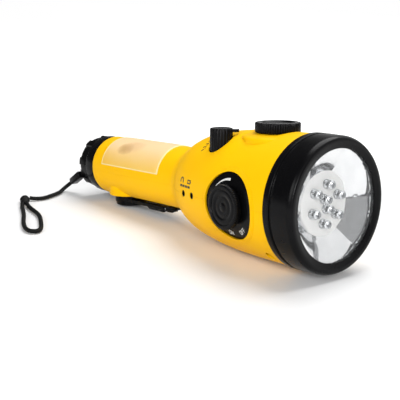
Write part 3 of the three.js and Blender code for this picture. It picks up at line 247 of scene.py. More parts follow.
def reflector_chrome():
    """Bright plating, slightly wavy, with a painted dark reflection in some of the folds between
    its flat panels.
    """
    tree = Surface("reflector_chrome")
    _, across, up = tree.torch_place()
    wobble = tree.spread(tree.noise(220, 2), -0.05, 0.05)
    angle = tree.math("ADD", tree.math("ARCTAN2", up, across), wobble)
    # Painted dark reflection: the folds are darkened where they would mirror the black bezel and
    # dark surroundings
    dark = None
    for turn, half in DARK_REFLECTION_FOLDS:
        away = tree.math("ABSOLUTE", tree.math("SUBTRACT", angle, math.radians(turn)))
        fold_reflection = tree.spread(away, 0.75, 0.0, (math.radians(half * 0.6), math.radians(half)))
        dark = tree.math("MAXIMUM", dark, fold_reflection) if dark else fold_reflection
    slow = tree.noise(90, 4, 0.65)
    plate = tree.mix(tree.spread(slow, 0, 1), (0.86, 0.865, 0.87, 1), (0.76, 0.77, 0.78, 1))
    # The painted dark reflection laid over the plating's colour
    base = tree.mix(dark, plate, (0.10, 0.10, 0.11, 1))
    crackle = tree.node("TexVoronoi", Vector=tree.place, Scale=260, feature="DISTANCE_TO_EDGE")
    cracks = tree.spread(crackle.outputs["Distance"], 0, 1, (0.0, 0.08))
    normal = tree.bump(cracks, 6e-6, 0.35, tree.bump(tree.noise(140, 3), 2.5e-5, 0.3))
    tree.set(Base_Color=base, Metallic=1.0, Roughness=tree.spread(slow, 0.04, 0.1), Normal=normal)
    return tree.material


def see_through(name, color, **extra):
    """Polished clear plastic with a faint haze and waves."""
    tree = Surface(name)
    haze = tree.noise(60, 3)
    tree.set(
        Base_Color=color, Roughness=tree.spread(haze, 0.02, 0.06),
        Normal=tree.bump(tree.noise(35, 2), 2e-5, 0.12), **extra,
    )
    return tree.material


# Painted shades under the lantern window, where the cells and the lamp board inside would show
# through, in metres: x, z, half length, strength and colour
PAINTED_SHADES = (
    (0.0495, 0.0162, 0.0085, 0.75, (0.50, 0.28, 0.10, 1)),
    (0.057, 0.0186, 0.011, 0.5, (0.72, 0.45, 0.22, 1)),
    (0.066, 0.013, 0.010, 0.35, (0.93, 0.62, 0.25, 1)),
)


def lantern_plastic():
    """Frosted cream plastic, with painted shade where the cells and the lamp board under it would
    show through, and a painted highlight along its edges.
    """
    tree = Surface("lantern_plastic")
    along, across, up = tree.torch_place()
    fine = tree.noise(2200, 2, 0.6)
    slow = tree.noise(30, 2)
    cream = tree.mix(tree.spread(slow, 0, 1), (0.95, 0.60, 0.15, 1), (0.93, 0.55, 0.10, 1))
    pale = tree.spread(up, 0.0, 0.85, (0.006, 0.019))
    base = tree.mix(pale, cream, (0.93, 0.66, 0.40, 1))
    near_tail = tree.spread(along, 0.75, 0.0, (0.028, 0.045))
    low = tree.math("MULTIPLY", near_tail, tree.spread(up, 1.0, 0.0, (0.004, 0.016)))
    base = tree.mix(low, base, (0.90, 0.47, 0.03, 1))
    cloud = tree.noise(120, 3)
    # Painted shade: soft dark blots of the cells and the lamp board, on the near side only
    for x, z, wide, strong, tint in PAINTED_SHADES:
        dx = tree.math("DIVIDE", tree.math("SUBTRACT", along, x), wide)
        dz = tree.math("DIVIDE", tree.math("SUBTRACT", up, z), wide * 0.42)
        far = tree.math("ADD", tree.math("MULTIPLY", dx, dx), tree.math("MULTIPLY", dz, dz))
        far = tree.math("ADD", far, tree.spread(cloud, -0.25, 0.25))
        far = tree.math("ADD", far, tree.spread(across, 0.0, 2.0, (-0.008, -0.003)))
        base = tree.mix(tree.spread(far, strong, 0.0, (0.0, 1.15)), base, tint)
    # Painted highlight: a lighter line along the window's rear and front ends and its lower edge
    rear = tree.spread(along, 1.0, 0.0, (0.0290, 0.0294))
    ends = tree.math("MAXIMUM", rear, tree.spread(along, 0.0, 1.0, (0.0925, 0.0929)))
    line = tree.math("MAXIMUM", ends, tree.spread(up, 1.0, 0.0, (0.0044, 0.0048)))
    base = tree.mix(tree.math("MULTIPLY", line, 0.8), base, (1.0, 0.84, 0.42, 1))
    tree.set(
        Base_Color=base, Roughness=0.42, Specular_IOR_Level=0.25, Subsurface_Weight=0.2,
        Subsurface_Scale=0.006, Subsurface_Radius=(1.0, 0.7, 0.4),
        Normal=tree.bump(fine, 8e-6, 0.5, tree.soft_edge(0.0006)),
    )
    return tree.material


CHROME = reflector_chrome()
CLEAR = see_through("clear_plastic", (0.72, 0.74, 0.76, 1), IOR=1.49, Transmission_Weight=1.0)
# The thin flat lens: nearly all of it lets light straight through, and a little gloss stays
LENS = see_through("lens_plastic", (0.9, 0.92, 0.94, 1), Alpha=0.06, Specular_IOR_Level=1.0)
CREAM = lantern_plastic()
PRINT_BLACK = plastic("print_black", (0.012, 0.010, 0.006), (0.02, 0.016, 0.008), 0.5, 2600, 4e-6)
PRINT_WHITE = plastic("print_white", (0.82, 0.82, 0.80), (0.75, 0.75, 0.73), 0.5, 2600, 4e-6)


# Mesh helpers, in millimetres
def made(name, points, faces):
    mesh = bpy.data.meshes.new(name)
    mesh.from_pydata(points, [], faces)
    mesh.update()
    piece = bpy.data.objects.new(name, mesh)
    bpy.context.scene.collection.objects.link(piece)
    return piece


def axes_along(along):
    """A frame whose third axis runs along the given direction."""
    z = Vector(along).normalized()
    helper = Vector((0, 0, 1)) if abs(z.z) < 0.9 else Vector((1, 0, 0))
    x = helper.cross(z).normalized()
    return Matrix((x, z.cross(x), z)).transposed().to_4x4()


def polar(name, rows, count, along=(1, 0, 0), at=(0, 0, 0), ripple=None):
    """A closed surface round an axis. A row is (place, radius, share of the ripple)."""
    basis = Matrix.Translation(at) @ axes_along(along)
    points, faces, rings = [], [], []
    for row in rows:
        place, radius = row[:2]
        share = row[2] if len(row) > 2 else 0
        if radius <= 0:
            rings.append([len(points)])
            points.append(basis @ Vector((0, 0, place)))
            continue
        rings.append(list(range(len(points), len(points) + count)))
        for i in range(count):
            angle = TAU * i / count
            r = radius + (share * ripple(angle) if share else 0)
            points.append(basis @ Vector((r * math.cos(angle), r * math.sin(angle), place)))
    closed = len(rings[0]) > 1 and len(rings[-1]) > 1
    pairs = list(zip(rings, rings[1:])) + ([(rings[-1], rings[0])] if closed else [])
    for low, high in pairs:
        for i in range(count):
            j = (i + 1) % count
            if len(low) == 1:
                faces.append((low[0], high[j], high[i]))
            elif len(high) == 1:
                faces.append((low[i], low[j], high[0]))
            else:
                faces.append((low[i], low[j], high[j], high[i]))
    piece = made(name, points, faces)
    outward(piece)
    return piece


def outward(piece):
    body = bmesh.new()
    body.from_mesh(piece.data)
    bmesh.ops.recalc_face_normals(body, faces=body.faces)
    if body.calc_volume(signed=True) < 0:
        bmesh.ops.reverse_faces(body, faces=body.faces)
    body.to_mesh(piece.data)
    body.free()


def rounded(points, radius, steps=4, closed=False):
    """The outline with each corner turned into a short arc."""
    out = []
    count = len(points)
    for i, point in enumerate(points):
        here = Vector(point[:2])
        if not closed and i in (0, count - 1):
            out.append(tuple(here))
            continue
        before, after = Vector(points[i - 1][:2]), Vector(points[(i + 1) % count][:2])
        room = min((here - before).length, (after - here).length) * 0.45
        reach = min(radius if len(point) < 3 else point[2], room)
        bend = (here - before).angle(after - here, 0.0)
        if reach < 0.01 or bend < 0.08:
            out.append(tuple(here))
            continue
        start = here + (before - here).normalized() * reach
        end = here + (after - here).normalized() * reach
        for k in range(steps + 1):
            t = k / steps
            out.append(tuple(start * (1 - t) ** 2 + here * 2 * t * (1 - t) + end * t ** 2))
    return out


def stacked(name, rings, closed=False):
    """A surface through rings of as many points each, capped at both ends or closed on itself."""
    count, rows = len(rings[0]), len(rings)
    faces = [] if closed else [tuple(range(count)), tuple(range(count * (rows - 1), count * rows))]
    for row in range(rows if closed else rows - 1):
        low, high = row * count, (row + 1) % rows * count
        for i in range(count):
            j = (i + 1) % count
            faces.append((low + i, low + j, high + j, high + i))
    piece = made(name, [point for ring in rings for point in ring], faces)
    outward(piece)
    return piece


def bar(x0, y0, x1, y1):
    """A rectangle's outline."""
    return [(x0, y0), (x1, y0), (x1, y1), (x0, y1)]


def prism(name, outline, low, high, along=None, at=(0, 0, 0)):
    """An upright prism, or one that runs along the given direction."""
    basis = Matrix.Translation(at) @ (axes_along(along) if along else Matrix.Identity(4))
    return stacked(name, [[basis @ Vector((x, y, z)) for x, y in outline] for z in (low, high)])


def block(low, high):
    return prism("block", bar(*low[:2], *high[:2]), low[2], high[2])


def rod(low, high, radius, along=UP, at=(0, 0, 0), count=64):
    return polar("rod", [(low, 0), (low, radius), (high, radius), (high, 0)], count, along, at)


def baked(piece):
    """The piece with its modifiers made real."""
    graph = bpy.context.evaluated_depsgraph_get()
    mesh = bpy.data.meshes.new_from_object(piece.evaluated_get(graph))
    old = piece.data
    piece.modifiers.clear()
    piece.data = mesh
    bpy.data.meshes.remove(old)
    return piece


def boolean(target, tool, how):
    modifier = target.modifiers.new("boolean", "BOOLEAN")
    modifier.operation = how
    modifier.solver = "MANIFOLD"
    modifier.object = tool
    baked(target)
    bpy.data.objects.remove(tool)
    if not len(target.data.vertices):
        raise RuntimeError(target.name + " is empty after " + how)
    return target


def cut(target, *tools):
    for tool in tools:
        boolean(target, tool, "DIFFERENCE")
    return target


def join(target, *tools):
    for tool in tools:
        boolean(target, tool, "UNION")
    return target


def common(target, tool):
    return boolean(target, tool, "INTERSECT")


def copied(piece):
    twin = bpy.data.objects.new(piece.name, piece.data.copy())
    bpy.context.scene.collection.objects.link(twin)
    return twin


def smooth(piece, limit):
    """Smooth shading, with the edges over the limit kept crisp."""
    body = bmesh.new()
    body.from_mesh(piece.data)
    bmesh.ops.remove_doubles(body, verts=body.verts, dist=2e-4)
    bmesh.ops.dissolve_degenerate(body, edges=body.edges, dist=2e-4)
    for face in body.faces:
        face.smooth = True
    for edge in body.edges:
        edge.smooth = edge.calc_face_angle(0.0) < math.radians(limit)
    body.to_mesh(piece.data)
    body.free()


def finish(piece, name, material, node=None, body="body", limit=35, frame_of=TORCH):
    """Puts a piece in the part's frame, with its material, body and the CAD node it replaces."""
    piece.name = name
    smooth(piece, limit)
    piece.data.transform(frame_of)
    piece.data.name = name
    piece.data.materials.clear()
    piece.data.materials.append(material)
    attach(piece, body)
    if node:
        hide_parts(node)


# Strap routes, with their points on the floor's own axes in millimetres from the tail's end
CORD_R, CORD_LAY, STRANDS = 1.5, 18.0, 8
LEAD_ROUTE = [
    (-15.8, -17.4, 8.5), (-18.3, -18.1, 6.7), (-20.1, -19.4, 4.8), (-20.4, -22.2, 2.9),
    (-18.6, -25.6, 1.75), (-15, -29.6, 1.7), (-12, -34, 1.7), (-9.6, -38.4, 1.7),
    (-7.6, -42.7, 1.7), (-5.6, -47.2, 1.7), (-5, -51.6, 1.7), (-6, -55.4, 1.75), (-8.5, -59.1, 2.1),
]
LOOP_ROUTE = [
    (3.4, -71.7, 2.1), (10.4, -75.6, 1.7), (16.5, -78.5, 1.7), (28.5, -84.4, 1.7),
    (37, -89.2, 1.7), (44.5, -93.4, 1.7), (52.5, -97.3, 1.7), (59.8, -99.9, 1.7),
    (65.6, -99.9, 1.7), (67.6, -96.7, 1.7), (65, -92.6, 1.7), (60.4, -89.3, 1.7),
    (54.1, -85.7, 1.7), (46.8, -81.8, 1.7), (39.5, -78.2, 1.7), (31.5, -75.3, 1.7),
    (24, -73.6, 1.7), (16.5, -72.1, 1.7), (10.5, -70.6, 1.7), (5.1, -68.9, 2.1),
]


def blend(a, b, start, end, t):
    """From a at the start to b at the end."""
    return a * ((end - t) / (end - start)) + b * ((t - start) / (end - start))


def curve_through(route, per=14):
    """Centripetal curve through the route's points."""
    points = [Vector(p) for p in route]
    points = [2 * points[0] - points[1]] + points + [2 * points[-1] - points[-2]]
    out = []
    for i in range(1, len(points) - 2):
        p0, p1, p2, p3 = points[i - 1:i + 3]
        t1 = (p1 - p0).length ** 0.5
        t2 = t1 + (p2 - p1).length ** 0.5
        t3 = t2 + (p3 - p2).length ** 0.5
        for k in range(per):
            t = t1 + (t2 - t1) * k / per
            a1, a2, a3 = blend(p0, p1, 0, t1, t), blend(p1, p2, t1, t2, t), blend(p2, p3, t2, t3, t)
            b1, b2 = blend(a1, a2, 0, t2, t), blend(a2, a3, t1, t3, t)
            out.append(blend(b1, b2, t1, t2, t))
    out.append(points[-2])
    return out


def evenly(path, step):
    """The path again, with points a step apart."""
    total = sum((b - a).length for a, b in zip(path, path[1:]))
    count = max(2, round(total / step))
    out, travelled, index = [path[0]], 0.0, 0
    for k in range(1, count):
        goal = total * k / count
        while travelled + (path[index + 1] - path[index]).length < goal:
            travelled += (path[index + 1] - path[index]).length
            index += 1
        part = (goal - travelled) / (path[index + 1] - path[index]).length
        out.append(path[index].lerp(path[index + 1], part))
    out.append(path[-1])
    return out, total


def tube(name, path, radius, sides, deep):
    """A round tube along a path, with the low ridges of laid strands."""
    rings = []
    side = None
    travelled = 0.0
    for i, here in enumerate(path):
        ahead = (path[min(i + 1, len(path) - 1)] - path[max(i - 1, 0)]).normalized()
        if side is None:
            side = ahead.cross(Vector(UP)).normalized()
        side = (side - ahead * side.dot(ahead)).normalized()
        up = ahead.cross(side)
        if i:
            travelled += (here - path[i - 1]).length
        ring = []
        for k in range(sides):
            angle = TAU * k / sides
            wave = STRANDS * angle + TAU * travelled / CORD_LAY * STRANDS
            other = STRANDS * angle - TAU * travelled / CORD_LAY * STRANDS
            r = radius - deep + deep * abs(math.sin(wave / 2) * math.sin(other / 2))
            ring.append(here + side * r * math.cos(angle) + up * r * math.sin(angle))
        rings.append(ring)
    return stacked(name, rings)


def make_strap():
    cords = []
    for name, route in (("strap_cord_lead", LEAD_ROUTE), ("strap_cord_loop", LOOP_ROUTE)):
        path, total = evenly(curve_through(route), 0.5)
        cord = tube(name, path, CORD_R, 20, 0.09)
        cords.append((cord, [ON_FLOOR @ p for p in path], total * MM))
    knot, crimp = make_knot(), make_crimp()
    (lead, lead_path, lead_length), (loop, loop_path, loop_length) = cords
    finish(lead, "strap_cord_lead", RUBBER, "strap_lead", "tail_cap", 80, ON_FLOOR)
    finish(loop, "strap_cord_loop", RUBBER, "strap_loop", "tail_cap", 80, ON_FLOOR)
    finish(knot, "strap_cord_knot", RUBBER, "strap_knot", "tail_cap", 80, ON_FLOOR)
    finish(crimp, "strap_cord_crimp", BLACK, "strap_crimp", "tail_cap", 35, ON_FLOOR)


def make_knot():
    """Three wraps of cord round the two strands, drawn tight."""
    at, turn = Vector((-3.2, -66, 2.75)), math.radians(-30)
    basis = Matrix.Translation(at) @ Matrix.Rotation(turn, 4, "Z")
    core = polar("core", [
        (-8.2, 0), (-8.1, 1.5), (-6.5, 1.9), (-4.5, 2.2),
        (4.5, 2.2), (6.5, 1.9), (8.1, 1.5), (8.2, 0),
    ], 32)
    core.data.transform(Matrix.Diagonal((1, 1.25, 0.95, 1)))
    wraps = []
    for i in range(121):
        share = i / 120
        angle = TAU * 3.2 * share + 0.4
        wide = 2.35 * math.sin(math.pi * min(1, max(0, 0.08 + 0.84 * share))) ** 0.35
        y, z = wide * math.cos(angle), 0.66 * wide * math.sin(angle)
        wraps.append(Vector((-5.2 + 10.4 * share, y, z)))
    path, _ = evenly(wraps, 0.5)
    wrap = tube("wrap", path, 1.25, 16, 0.07)
    knot = join(core, wrap)
    knot.data.transform(basis)
    return knot


def make_crimp():
    """The clip at the strap's eye: a flat bar with bevelled edges and a dent in its broad side."""
    start, end = Vector((-5, -16.7, 16.5)), Vector((-15.6, -17.3, 8.7))
    along = end - start
    length = along.length
    outline = rounded([
        (-3.4, -1.6), (-2.6, -2.6), (2.6, -2.6), (3.4, -1.6),
        (3.4, 1.6), (2.6, 2.6), (-2.6, 2.6), (-3.4, 1.6),
    ], 0.7, 4, True)
    rows = [
        (0, 0.84), (0.35, 0.94), (0.8, 1),
        (length - 0.8, 1), (length - 0.35, 0.94), (length, 0.84),
    ]
    crimp = stacked("crimp", [[Vector((x * s, y * s, z)) for x, y in outline] for z, s in rows])
    dent = rounded(bar(-1.6, 0.2 * length, 1.6, 0.8 * length), 0.6, 4, True)
    tool = prism("dent", dent, 1.9, 9)
    tool.data.transform(Matrix(((1, 0, 0, 0), (0, 0, 1, 0), (0, 1, 0, 0), (0, 0, 0, 1))))
    outward(tool)
    cut(crimp, tool)
    z = along.normalized()
    x = z.cross(Vector(UP)).normalized()
    y = -(z.cross(x))
    crimp.data.transform(Matrix.Translation(start) @ Matrix((-x, y, z)).transposed().to_4x4())
    outward(crimp)
    return crimp


make_strap()


# Body: the two shells
def body_r(x):
    """Radius of the shell: straight handle, then a smooth flare through its given points."""
    if x <= FLARE_X:
        return NECK_R
    if x >= HEAD_X:
        return HEAD_R
    i = next(k for k, (at, _) in enumerate(FLARE) if at >= x)
    (x0, r0), (x1, r1) = FLARE[i - 1], FLARE[i]
    slopes = []
    for k in (i - 1, i):
        if k == 0:
            slopes.append(0.0)
            continue
        (a, ra), (b, rb) = FLARE[k - 1], FLARE[k]
        before = (rb - ra) / (b - a)
        if k == len(FLARE) - 1:
            slopes.append(before * 0.8)
            continue
        c, rc = FLARE[k + 1]
        after = (rc - rb) / (c - b)
        slopes.append(2 * before * after / (before + after))
    t = (x - x0) / (x1 - x0)
    h = x1 - x0
    return (
        (2 * t ** 3 - 3 * t ** 2 + 1) * r0 + (t ** 3 - 2 * t ** 2 + t) * h * slopes[0]
        + (3 * t ** 2 - 2 * t ** 3) * r1 + (t ** 3 - t ** 2) * h * slopes[1]
    )


def body_rows(inset, grow):
    last = HEAD_X + grow
    rows = [(TAIL_X - grow, 0)]
    if grow:
        rows.append((TAIL_X - grow, NECK_R - inset))
    else:
        for k in range(5):
            a = k * math.pi / 8
            along, out = 1.1 * math.cos(a), 0.9 * math.sin(a)
            rows.append((TAIL_X + 1.1 - along, NECK_R - inset - 0.9 + out))
    x = TAIL_X + 4
    while x < last - 0.5:
        rows.append((x, body_r(x) - inset))
        x += 2 if x < FLARE_X - 4 or x > FLARE_X + 60 else 1
    rows += [(last, body_r(last) - inset), (last, 0)]
    return rows


def body_form(inset=0.0, grow=0.0, count=160):
    return polar("form", body_rows(inset, grow), count)


def make_shells():
    """Both shells are cut from one hollow form, with its pad, boss and openings."""
    form = body_form()
    edge = rounded([
        (FLAT_Z, 0), (FLAT_Z, BOSS_R), (FLAT_Z + 6, BOSS_R + 0.3), (0, BOSS_R + 0.6), (0, 0),
    ], 0.9, 5)
    boss = polar("boss", edge, 128, UP)
    oval = Matrix.Diagonal((0.98, 1.15, 1, 1))
    boss.data.transform(Matrix.Translation((BOSS_X + 1.6, 0, 0)) @ oval)
    join(form, boss)
    cut(form, block((FLAT_X0, -WIDE, -WIDE), (FLAT_X1, WIDE, FLAT_Z)))
    cut(form, block((0, -WIDE, -WIDE), (FLAT_X1 - 1, WIDE, HEEL_Z)))
    pad = rounded([
        (PAD_TOP - 8.5, 0), (PAD_TOP - 8.5, 21.3), (PAD_TOP - 1.9, 21.3, 1.6),
        (PAD_TOP, TUNING_R + 0.65, 2.6), (PAD_TOP, 0),
    ], 1.0, 6)
    join(form, polar("pad", pad, 128, UP, PAD_AT))
    cut(form, rod(PAD_TOP, WIDE, TUNING_R + 0.65, UP, PAD_AT, 96))
    room = body_form(WALL, 5, 96)
    cut(room, block((FLAT_X0 - 1, -WIDE, -WIDE), (FLAT_X1 + WALL, WIDE, FLAT_Z + WALL)))
    cut(room, rod(WELL_Z - 2.2, WIDE, 9.4, UP, SELECT_AT))
    cut(form, room)
    cut(form, rod(0, PAD_TOP - 2.6, 19.1, UP, PAD_AT, 96))
    spigot = [
        (HEAD_X - 4, 33.2), (225.5, 33.2), (225.5, 35.0),
        (HEAD_X - 0.3, 35.0), (HEAD_X - 0.3, 38.1), (HEAD_X - 4, 38.1),
    ]
    join(form, polar("spigot", spigot, 128))
    for high, wide in ((0.22, 2.9), (0.42, 2.2), (0.5, 1.5)):
        layer = cut(body_form(-high), body_form(0.4))
        join(form, common(layer, rod(-9, WIDE, SIDE_R + wide, SIDE_OUT, SIDE_AT, 128)))
    tools = [
        block((WINDOW_X0, -WIDE, WINDOW_Z), (WINDOW_X1 + GAP, WIDE, WIDE)),
        rod(WELL_Z, WIDE, 7.5, UP, SELECT_AT, 96),
        rod(0, WIDE, 2.9, UP, PAD_AT, 32),
        rod(-9.3, WIDE, SIDE_R + GAP, SIDE_OUT, SIDE_AT, 128),
        rod(-WIDE, 0, 4.6, UP, BOSS_AT, 32),
    ]
    for x, y in JACKS:
        tools.append(rod(-5, 5, 2.1, JACK_OUT, (x, y, SEAM_Z), 40))
    for x, y, seat in SCREWS:
        tools.append(rod(-WIDE, seat - GAP, SCREW_HEAD, UP, (x, y, 0), 40))
        tools.append(rod(-WIDE, 0, SCREW_BORE, UP, (x, y, 0), 20))
    grille = rounded([(-14, -1), (14, -1), (15, 0), (14, 1), (-14, 1), (-15, 0)], 0.6, 3, True)
    for row in range(3):
        up = GRILLE_STEP * (row + 0.5)
        for z in (SEAM_Z + up, SEAM_Z - up):
            tools.append(prism("slot", grille, 26, WIDE, (0, 1, 0), (GRILLE_X, 0, z)))
    dash = block((25.9, -2.0, NECK_R - 1.6), (26.6, 2.0, WIDE))
    dash.data.transform(Matrix.Rotation(math.radians(49), 4, "X"))
    tools.append(dash)
    cut(form, *tools)
    lower = copied(form)
    middle, end = FLARE_X + 8, 260
    for piece, side in ((form, 1), (lower, -1)):
        near, far = SEAM_Z + side * SEAM / 8, SEAM_Z + side * SEAM / 2
        past = side * WIDE
        handle = block((0, -WIDE, min(near, past)), (middle + 1, WIDE, max(near, past)))
        head = block((middle, -WIDE, min(far, past)), (end, WIDE, max(far, past)))
        common(piece, join(handle, head))
    return form, lower


def make_body():
    upper, lower = make_shells()
    finish(upper, "body_shell_upper", YELLOW, "upper_shell", limit=30)
    finish(lower, "body_shell_lower", YELLOW, "lower_shell", limit=30)
    x0, x1 = WINDOW_X0 + 0.1, WINDOW_X1 + 0.2
    pane = [
        (x0, -0.9), (x0, 0.1, 0.2), (x0 + 0.3, 0.45, 0.2), (x0 + 1.0, 0.45, 0.2),
        (x0 + 1.3, 0.3, 0.2), (x0 + 4, 0.6, 2), (x1 - 4, 0.6, 2), (x1 - 1.3, 0.3, 0.2),
        (x1 - 1.0, 0.45, 0.2), (x1 - 0.3, 0.45, 0.2), (x1, 0.1, 0.2), (x1, -0.9),
    ]
    pane = [(x, NECK_R + out, *bend) for x, out, *bend in pane]
    window = polar("window", rounded(pane, 0.2, 4), 160)
    common(window, block((0, -WIDE, WINDOW_Z + 0.1), (240, WIDE, WIDE)))
    finish(window, "lantern_cover", CREAM, "lantern_window", limit=30)


make_body()


# Head: bezel, lens, reflector and lamps
RIM_X, RIM_R, HOLE_R = 229.3, 33.1, 19.0
PANELS = [4, 70, 126, 186, 247, 307, 364]  # their edges, in degrees
PANEL_FLAT = 0.62  # share of a true flat
LAMP_R = 2.5


def panel_dip(angle):
    """How far a flat panel of the mirror falls behind its middle, as a share of the radius."""
    turn = math.degrees(angle) % 360
    turn = turn + 360 if turn < PANELS[0] else turn
    start, end = next((a, b) for a, b in zip(PANELS, PANELS[1:]) if a <= turn <= b)
    return 1 - math.cos(math.radians(turn - (start + end) / 2))


def make_reflector(steps=12, count=360):
    """A shallow bowl of six nearly flat panels, round at its rim and at the lamp plate."""
    slope = (RIM_X - PLATE_X - 0.2) / (RIM_R - HOLE_R)
    out = RIM_R + 0.15
    rows = [(RIM_X - 2.6, out, 0), (RIM_X - 0.1, out, 0), (RIM_X, RIM_R + 0.08, 0)]
    for k in range(steps + 1):
        r = RIM_R - (RIM_R - HOLE_R) * k / steps
        bow = 0.5 * math.sin(math.pi * k / steps)
        rows.append((RIM_X - (RIM_R - r) * slope + bow, r, slope * r * PANEL_FLAT))
    rows += [(PLATE_X - 2.4, HOLE_R, 0), (PLATE_X - 1.0, 25.6, 0), (RIM_X - 4.6, RIM_R - 1.5, 0)]
    angles = [TAU * i / count for i in range(count)]
    return stacked("bowl", [
        [(x - dip * panel_dip(a), r * math.cos(a), r * math.sin(a)) for a in angles]
        for x, r, dip in rows
    ], True)


def disc(name, front, thick, radius):
    return polar(name, rounded([
        (front - thick, 0), (front - thick, radius), (front, radius), (front, 0),
    ], 0.2, 3), 128)


def make_head():
    x0 = HEAD_X + GAP
    bezel = rounded([
        (x0, BORE_R), (x0, RING_R - 0.6), (x0 + 0.7, RING_R), (x0 + 4.5, RING_R),
        (x0 + 5, RING_R - 1.3), (x0 + 6.2, RING_R - 1.3), (x0 + 6.7, RING_R),
        (FRONT_X - 2.2, RING_R - 0.3, 1.2), (FRONT_X, RING_R - 1.7, 1.0),
        (FRONT_X, RING_R - 3.8, 0.6), (FRONT_X - 0.9, BORE_R - 2.7, 0.3),
        (FRONT_X - 1.8, BORE_R - 2.7), (FRONT_X - 1.8, BORE_R),
    ], 0.35, 5, True)
    finish(polar("bezel", bezel, 192), "head_bezel", BLACK, "bezel", limit=40)
    finish(disc("lens", LENS_X, 1.7, LENS_R), "front_lens", LENS, "lens", limit=40)
    finish(make_reflector(), "lamp_reflector", CHROME, "reflector", limit=12)
    finish(disc("plate", PLATE_X, 1.5, PLATE_R), "lamp_plate", WHITE, "lamp_board", limit=40)
    places = []
    for count, radius, turn in ((6, 11.4, 23), (2, 3.1, 109)):
        for i in range(count):
            angle = math.radians(turn) + TAU * i / count
            places.append((radius * math.cos(angle), radius * math.sin(angle)))
    base = PLATE_X + 0.3
    for number, (y, z) in enumerate(places, 1):
        dome = rounded([
            (base, 0), (base, 2.9, 0.1), (base + 1, 2.9, 0.1), (base + 1, LAMP_R),
            (base + 3.9, LAMP_R),
        ], 0.1, 2)
        for k in range(1, 10):
            a = math.pi / 20 * k
            dome.append((base + 3.9 + LAMP_R * math.sin(a), LAMP_R * math.cos(a)))
        dome.append((base + 6.4, 0))
        lamp = polar("lamp", dome, 32, at=(0, y, z))
        core = rod(base + 0.4, base + 4.4, 0.36, (1, 0, 0), (0, y + 1.05, z), 12)
        join(core, rod(base + 0.4, base + 3.6, 0.36, (1, 0, 0), (0, y - 1.05, z), 12))
        cup = [
            (base + 1.9, 0), (base + 1.9, 1.55), (base + 3.3, 1.75), (base + 3.3, 1.35),
            (base + 2.9, 0.6), (base + 2.9, 0),
        ]
        join(core, polar("cup", cup, 24, at=(0, y, z)))
        hollow = copied(core)
        grow = hollow.modifiers.new("grow", "DISPLACE")
        grow.strength = 0.06
        grow.mid_level = 0
        cut(lamp, baked(hollow))
        finish(lamp, f"lamp_dome_{number}", CLEAR, f"led_{number}", limit=40)
        finish(core, f"lamp_lead_frame_{number}", LAMP_METAL, limit=40)


make_head()


# Knobs
def ribs(count, deep):
    """Grooves round a knob: narrow lands with wider hollows between them."""
    return lambda angle: -deep * (0.5 + 0.5 * math.cos(count * angle)) ** 2.0


def make_panel():
    skin = body_form(0.6)
    cut(skin, body_form(2.8, 5, 96))
    common(skin, rod(-9, WIDE, SIDE_R, SIDE_OUT, SIDE_AT, 128))
    join(skin, common(rod(-4.4, 0, 9, SIDE_OUT, SIDE_AT), body_form(0.9, 0, 96)))
    cut(skin, rod(-WIDE, WIDE, 3.3, SIDE_OUT, SIDE_AT, 40))
    finish(skin, "volume_panel", BLACK, "side_panel", limit=30)

    wall = [
        (0.6, 0), (0.6, 12.4, 0.5), (0.9, 13.1, 1), (1.6, 13.2, 1), (3.6, 13.2, 1),
        (4.05, 13.0, 0.9), (4.3, 12.4, 0.5),
    ]
    face = [
        (4.35, 11.6), (4.3, 10.8), (3.85, 10.5), (3.8, 9.9), (4.0, 9.5), (4.0, 7.4), (3.7, 6.9),
        (3.65, 6.0), (3.8, 5.6), (3.8, 3.4), (3.65, 2.9), (3.9, 2.2), (4.15, 1.7), (4.2, 0),
    ]
    dial = polar("dial", wall + face, 480, SIDE_OUT, SIDE_AT, ribs(60, 0.42))
    join(dial, rod(-10.2, 1.5, 2.7, SIDE_OUT, SIDE_AT, 32))
    finish(dial, "volume_knob", BLACK, "volume_dial", "volume", 38)


def make_tuning():
    low, high = PAD_TOP + 0.4, PAD_TOP + 6.4
    face = high - 0.8
    wall = [
        (low, 0), (low, 13.0, 0.6), (low + 0.5, TUNING_R, 1), (high - 0.7, TUNING_R, 1),
        (high - 0.2, 13.4, 0.8), (high, 12.8, 0.3), (high, 12.0), (high, 10.4), (high - 0.35, 9.9),
        (face, 9.4), (face, 5), (face, 0),
    ]
    dial = polar("dial", wall, 448, UP, PAD_AT, ribs(56, 0.5))
    join(dial, rod(27, low + 1, 2.6, UP, PAD_AT, 32))
    finish(dial, "tuning_knob", BLACK, "tuning_dial", "tuning", 38)


def make_select():
    low, top = WELL_Z + 0.4, SELECT_TOP
    wall = [
        (low, 0), (low, 6.5, 0.6), (low + 0.5, 6.95, 1), (top - 0.7, 6.95, 1),
        (top - 0.2, 6.7, 0.8), (top, 6.1, 0.2), (top, 5.4), (top - 0.25, 5.0),
        (top - 0.35, 2.5), (top - 0.35, 0),
    ]
    knob = polar("knob", wall, 240, UP, SELECT_AT, ribs(20, 0.4))
    outline = rounded([
        (0, -1.2), (9.6, -1.2, 0.5), (10.8, -0.6, 0.4), (10.8, 0.6, 0.4), (9.6, 1.2, 0.5), (0, 1.2),
    ], 0.3, 4, True)
    lug = prism("lug", outline, top - 2.6, top - 0.8)
    turn = Matrix.Rotation(math.radians(49.5), 4, "Z")
    lug.data.transform(Matrix.Translation(SELECT_AT) @ turn)
    join(knob, lug, rod(12, low + 1, 2.0, UP, SELECT_AT, 32))
    finish(knob, "function_selector", BLACK, "function_knob", "function", 38)


def make_sockets():
    wall = [
        (-4.6, 0), (-4.6, 2.05), (-0.35, 2.05), (-0.3, 2.0), (-0.3, 1.5), (-0.35, 1.45),
        (-4.1, 1.45), (-4.1, 0),
    ]
    for number, (x, y) in enumerate(JACKS, 1):
        liner = polar("liner", wall, 40, JACK_OUT, (x, y, SEAM_Z))
        finish(liner, f"socket_liner_{number}", BLACK, limit=40)


make_panel()
make_sockets()
make_tuning()
make_select()


